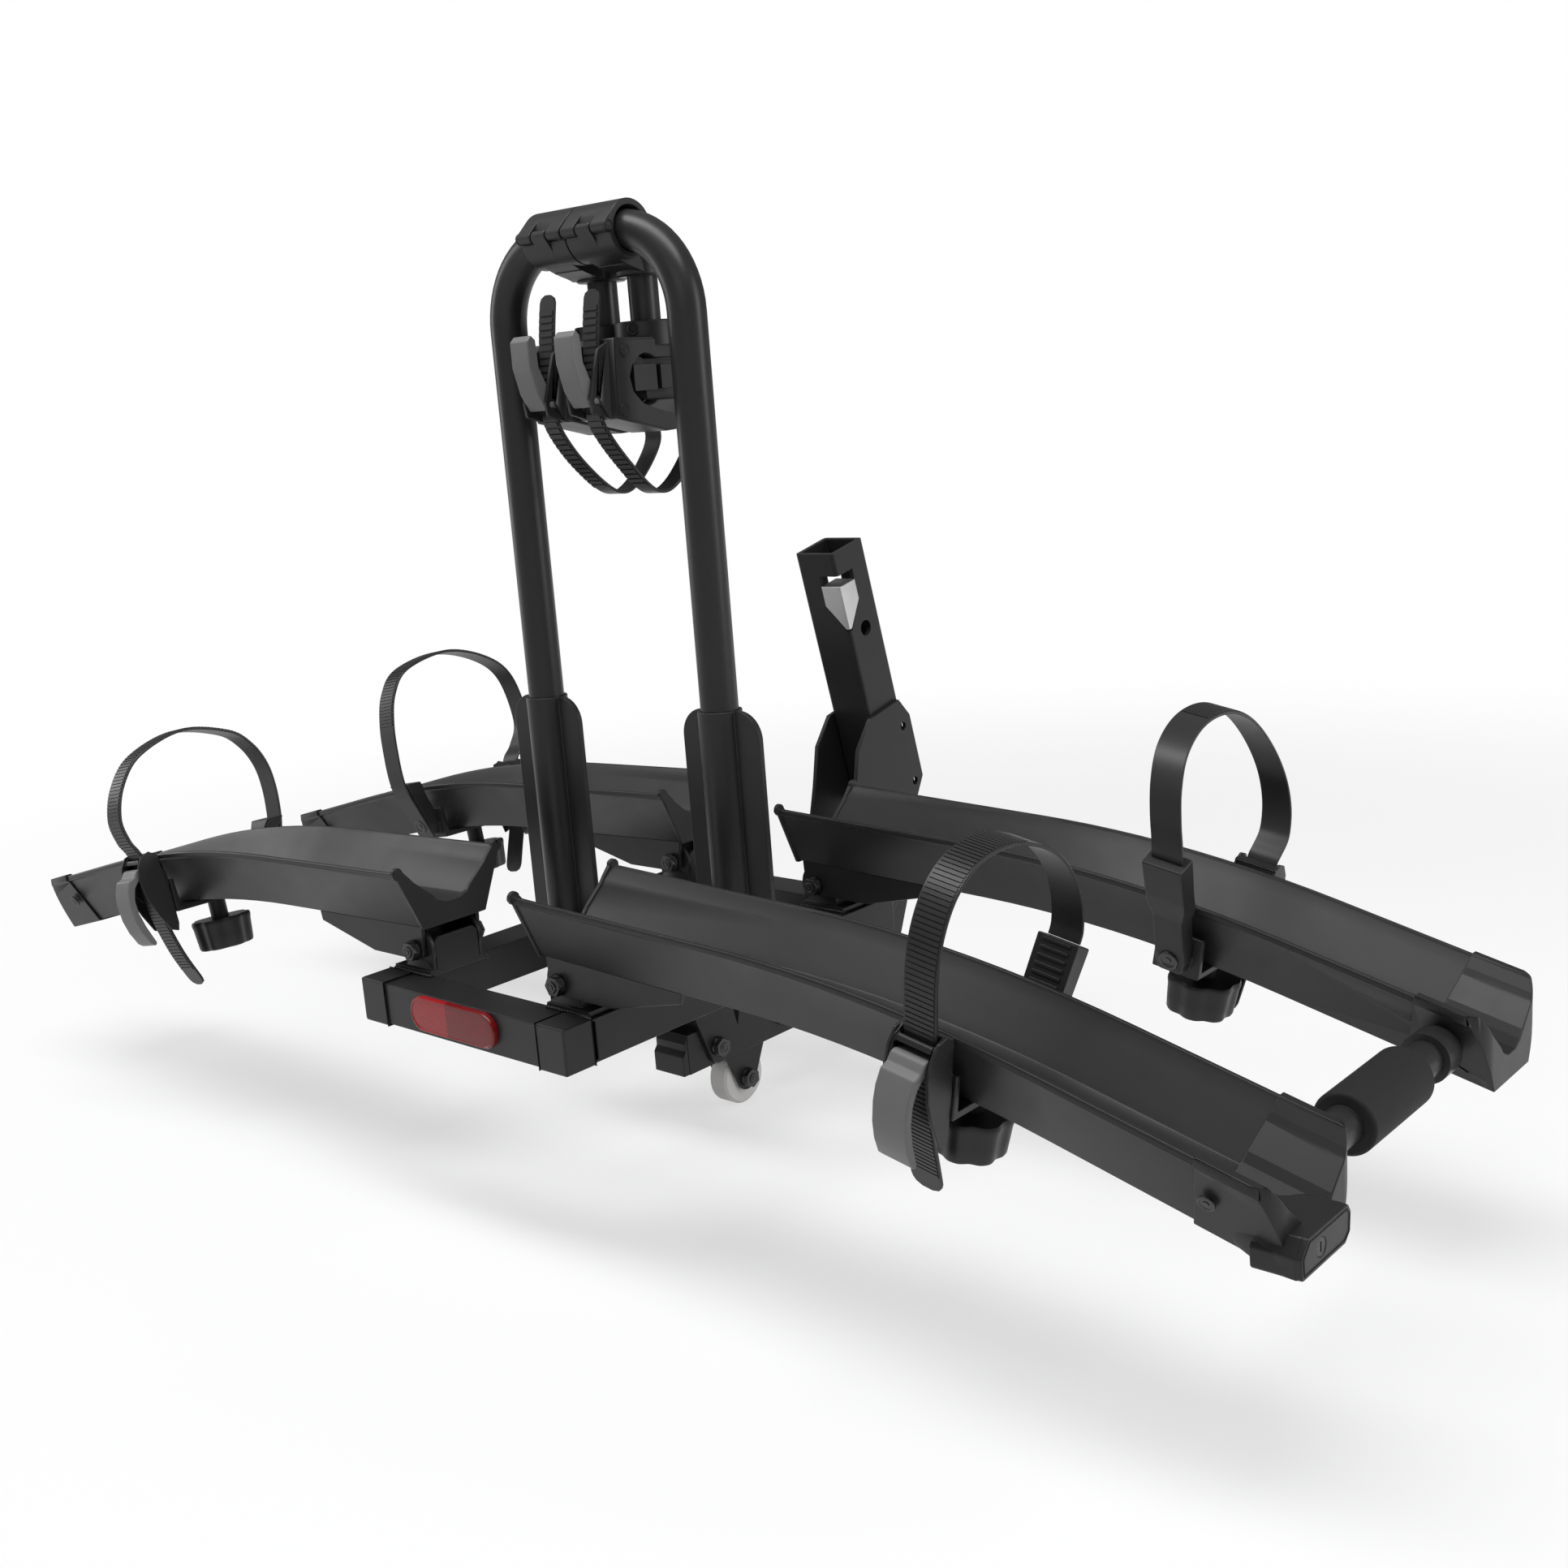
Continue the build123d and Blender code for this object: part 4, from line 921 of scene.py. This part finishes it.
# floor, backdrop and light: the paper glows white far from the rack, and keeps its shadow close to it
studio = {
    "floorSize": 40, "paper": (0.9, 0.9, 0.905, 1), "white": (1, 1, 1, 1), "skyLight": 0.18,
    "fade": {"From Min": 0.5, "From Max": 2.4, "To Min": 0.6, "To Max": 1.0},
}
lamps = {
    "topSoftbox": {"place": (0.1, -0.75, 2.0), "target": (0, -0.25, -0.2), "size": (2.8, 0.7), "power": 56},
    "leftPanel": {"place": (-2.2, -0.9, 0.7), "target": (0, -0.2, -0.1), "size": (0.6, 1.6), "power": 12},
    "rightPanel": {"place": (2.4, 0.8, 0.7), "target": (0, -0.2, -0.1), "size": (0.7, 1.6), "power": 22},
    "frontCard": {"place": (0.9, -2.4, 1.2), "target": (0, -0.2, -0.1), "size": (1.6, 0.4), "power": 5},
}


def makeFloor(setup):
    bpy.ops.mesh.primitive_plane_add(size=setup["floorSize"], location=(0, 0, groundZ))
    floor = bpy.context.object
    floor.name = "floor"
    paper = Finish("paleFloor", roughness=0.95, Specular_IOR_Level=0.0)
    paper.set("Base Color", setup["paper"])
    glow = paper.node("Emission", values={"Color": setup["white"], "Strength": 1.0})
    camera, glossy = (paper.node("LightPath", output="Is " + ray + " Ray") for ray in ("Camera", "Glossy"))
    reach = paper.node("VectorMath", {"operation": "LENGTH"}, {0: paper.place()}, 1)
    fade = paper.node("MapRange", {"interpolation_type": "SMOOTHSTEP"}, {"Value": reach, **setup["fade"]})
    shaded = Sock(paper.tree, paper.shader.outputs[0])
    both = paper.node("MixShader", values={0: camera.most(glossy) * fade, 1: shaded, 2: glow})
    paper.tree.links.new(both.out, paper.tree.nodes["Material Output"].inputs["Surface"])
    floor.data.materials.append(paper.material)


def makeSky(setup):
    world = bpy.data.worlds.new("studio")
    bpy.context.scene.world = world
    world.use_nodes = True
    sky = world.node_tree
    back = sky.nodes["Background"]
    seen = Sock(sky, sky.nodes.new("ShaderNodeLightPath").outputs["Is Camera Ray"])
    strength = seen * (1 - setup["skyLight"]) + setup["skyLight"]
    sky.links.new(strength.out, back.inputs["Strength"])
    back.inputs["Color"].default_value = setup["white"]


def addLamp(name, place, target, size, power):
    data = bpy.data.lights.new(name, "AREA")
    data.shape = "RECTANGLE"
    data.size, data.size_y = size
    data.energy = power
    lamp = bpy.data.objects.new(name, data)
    lamp.location = place
    lamp.rotation_euler = (Vector(target) - Vector(place)).to_track_quat("-Z", "Y").to_euler()
    bpy.context.collection.objects.link(lamp)


makeFloor(studio)
makeSky(studio)
for name, setup in lamps.items():
    addLamp(name, **setup)
bpy.context.scene.view_settings.view_transform = "Standard"
print("stage and lamps ready")
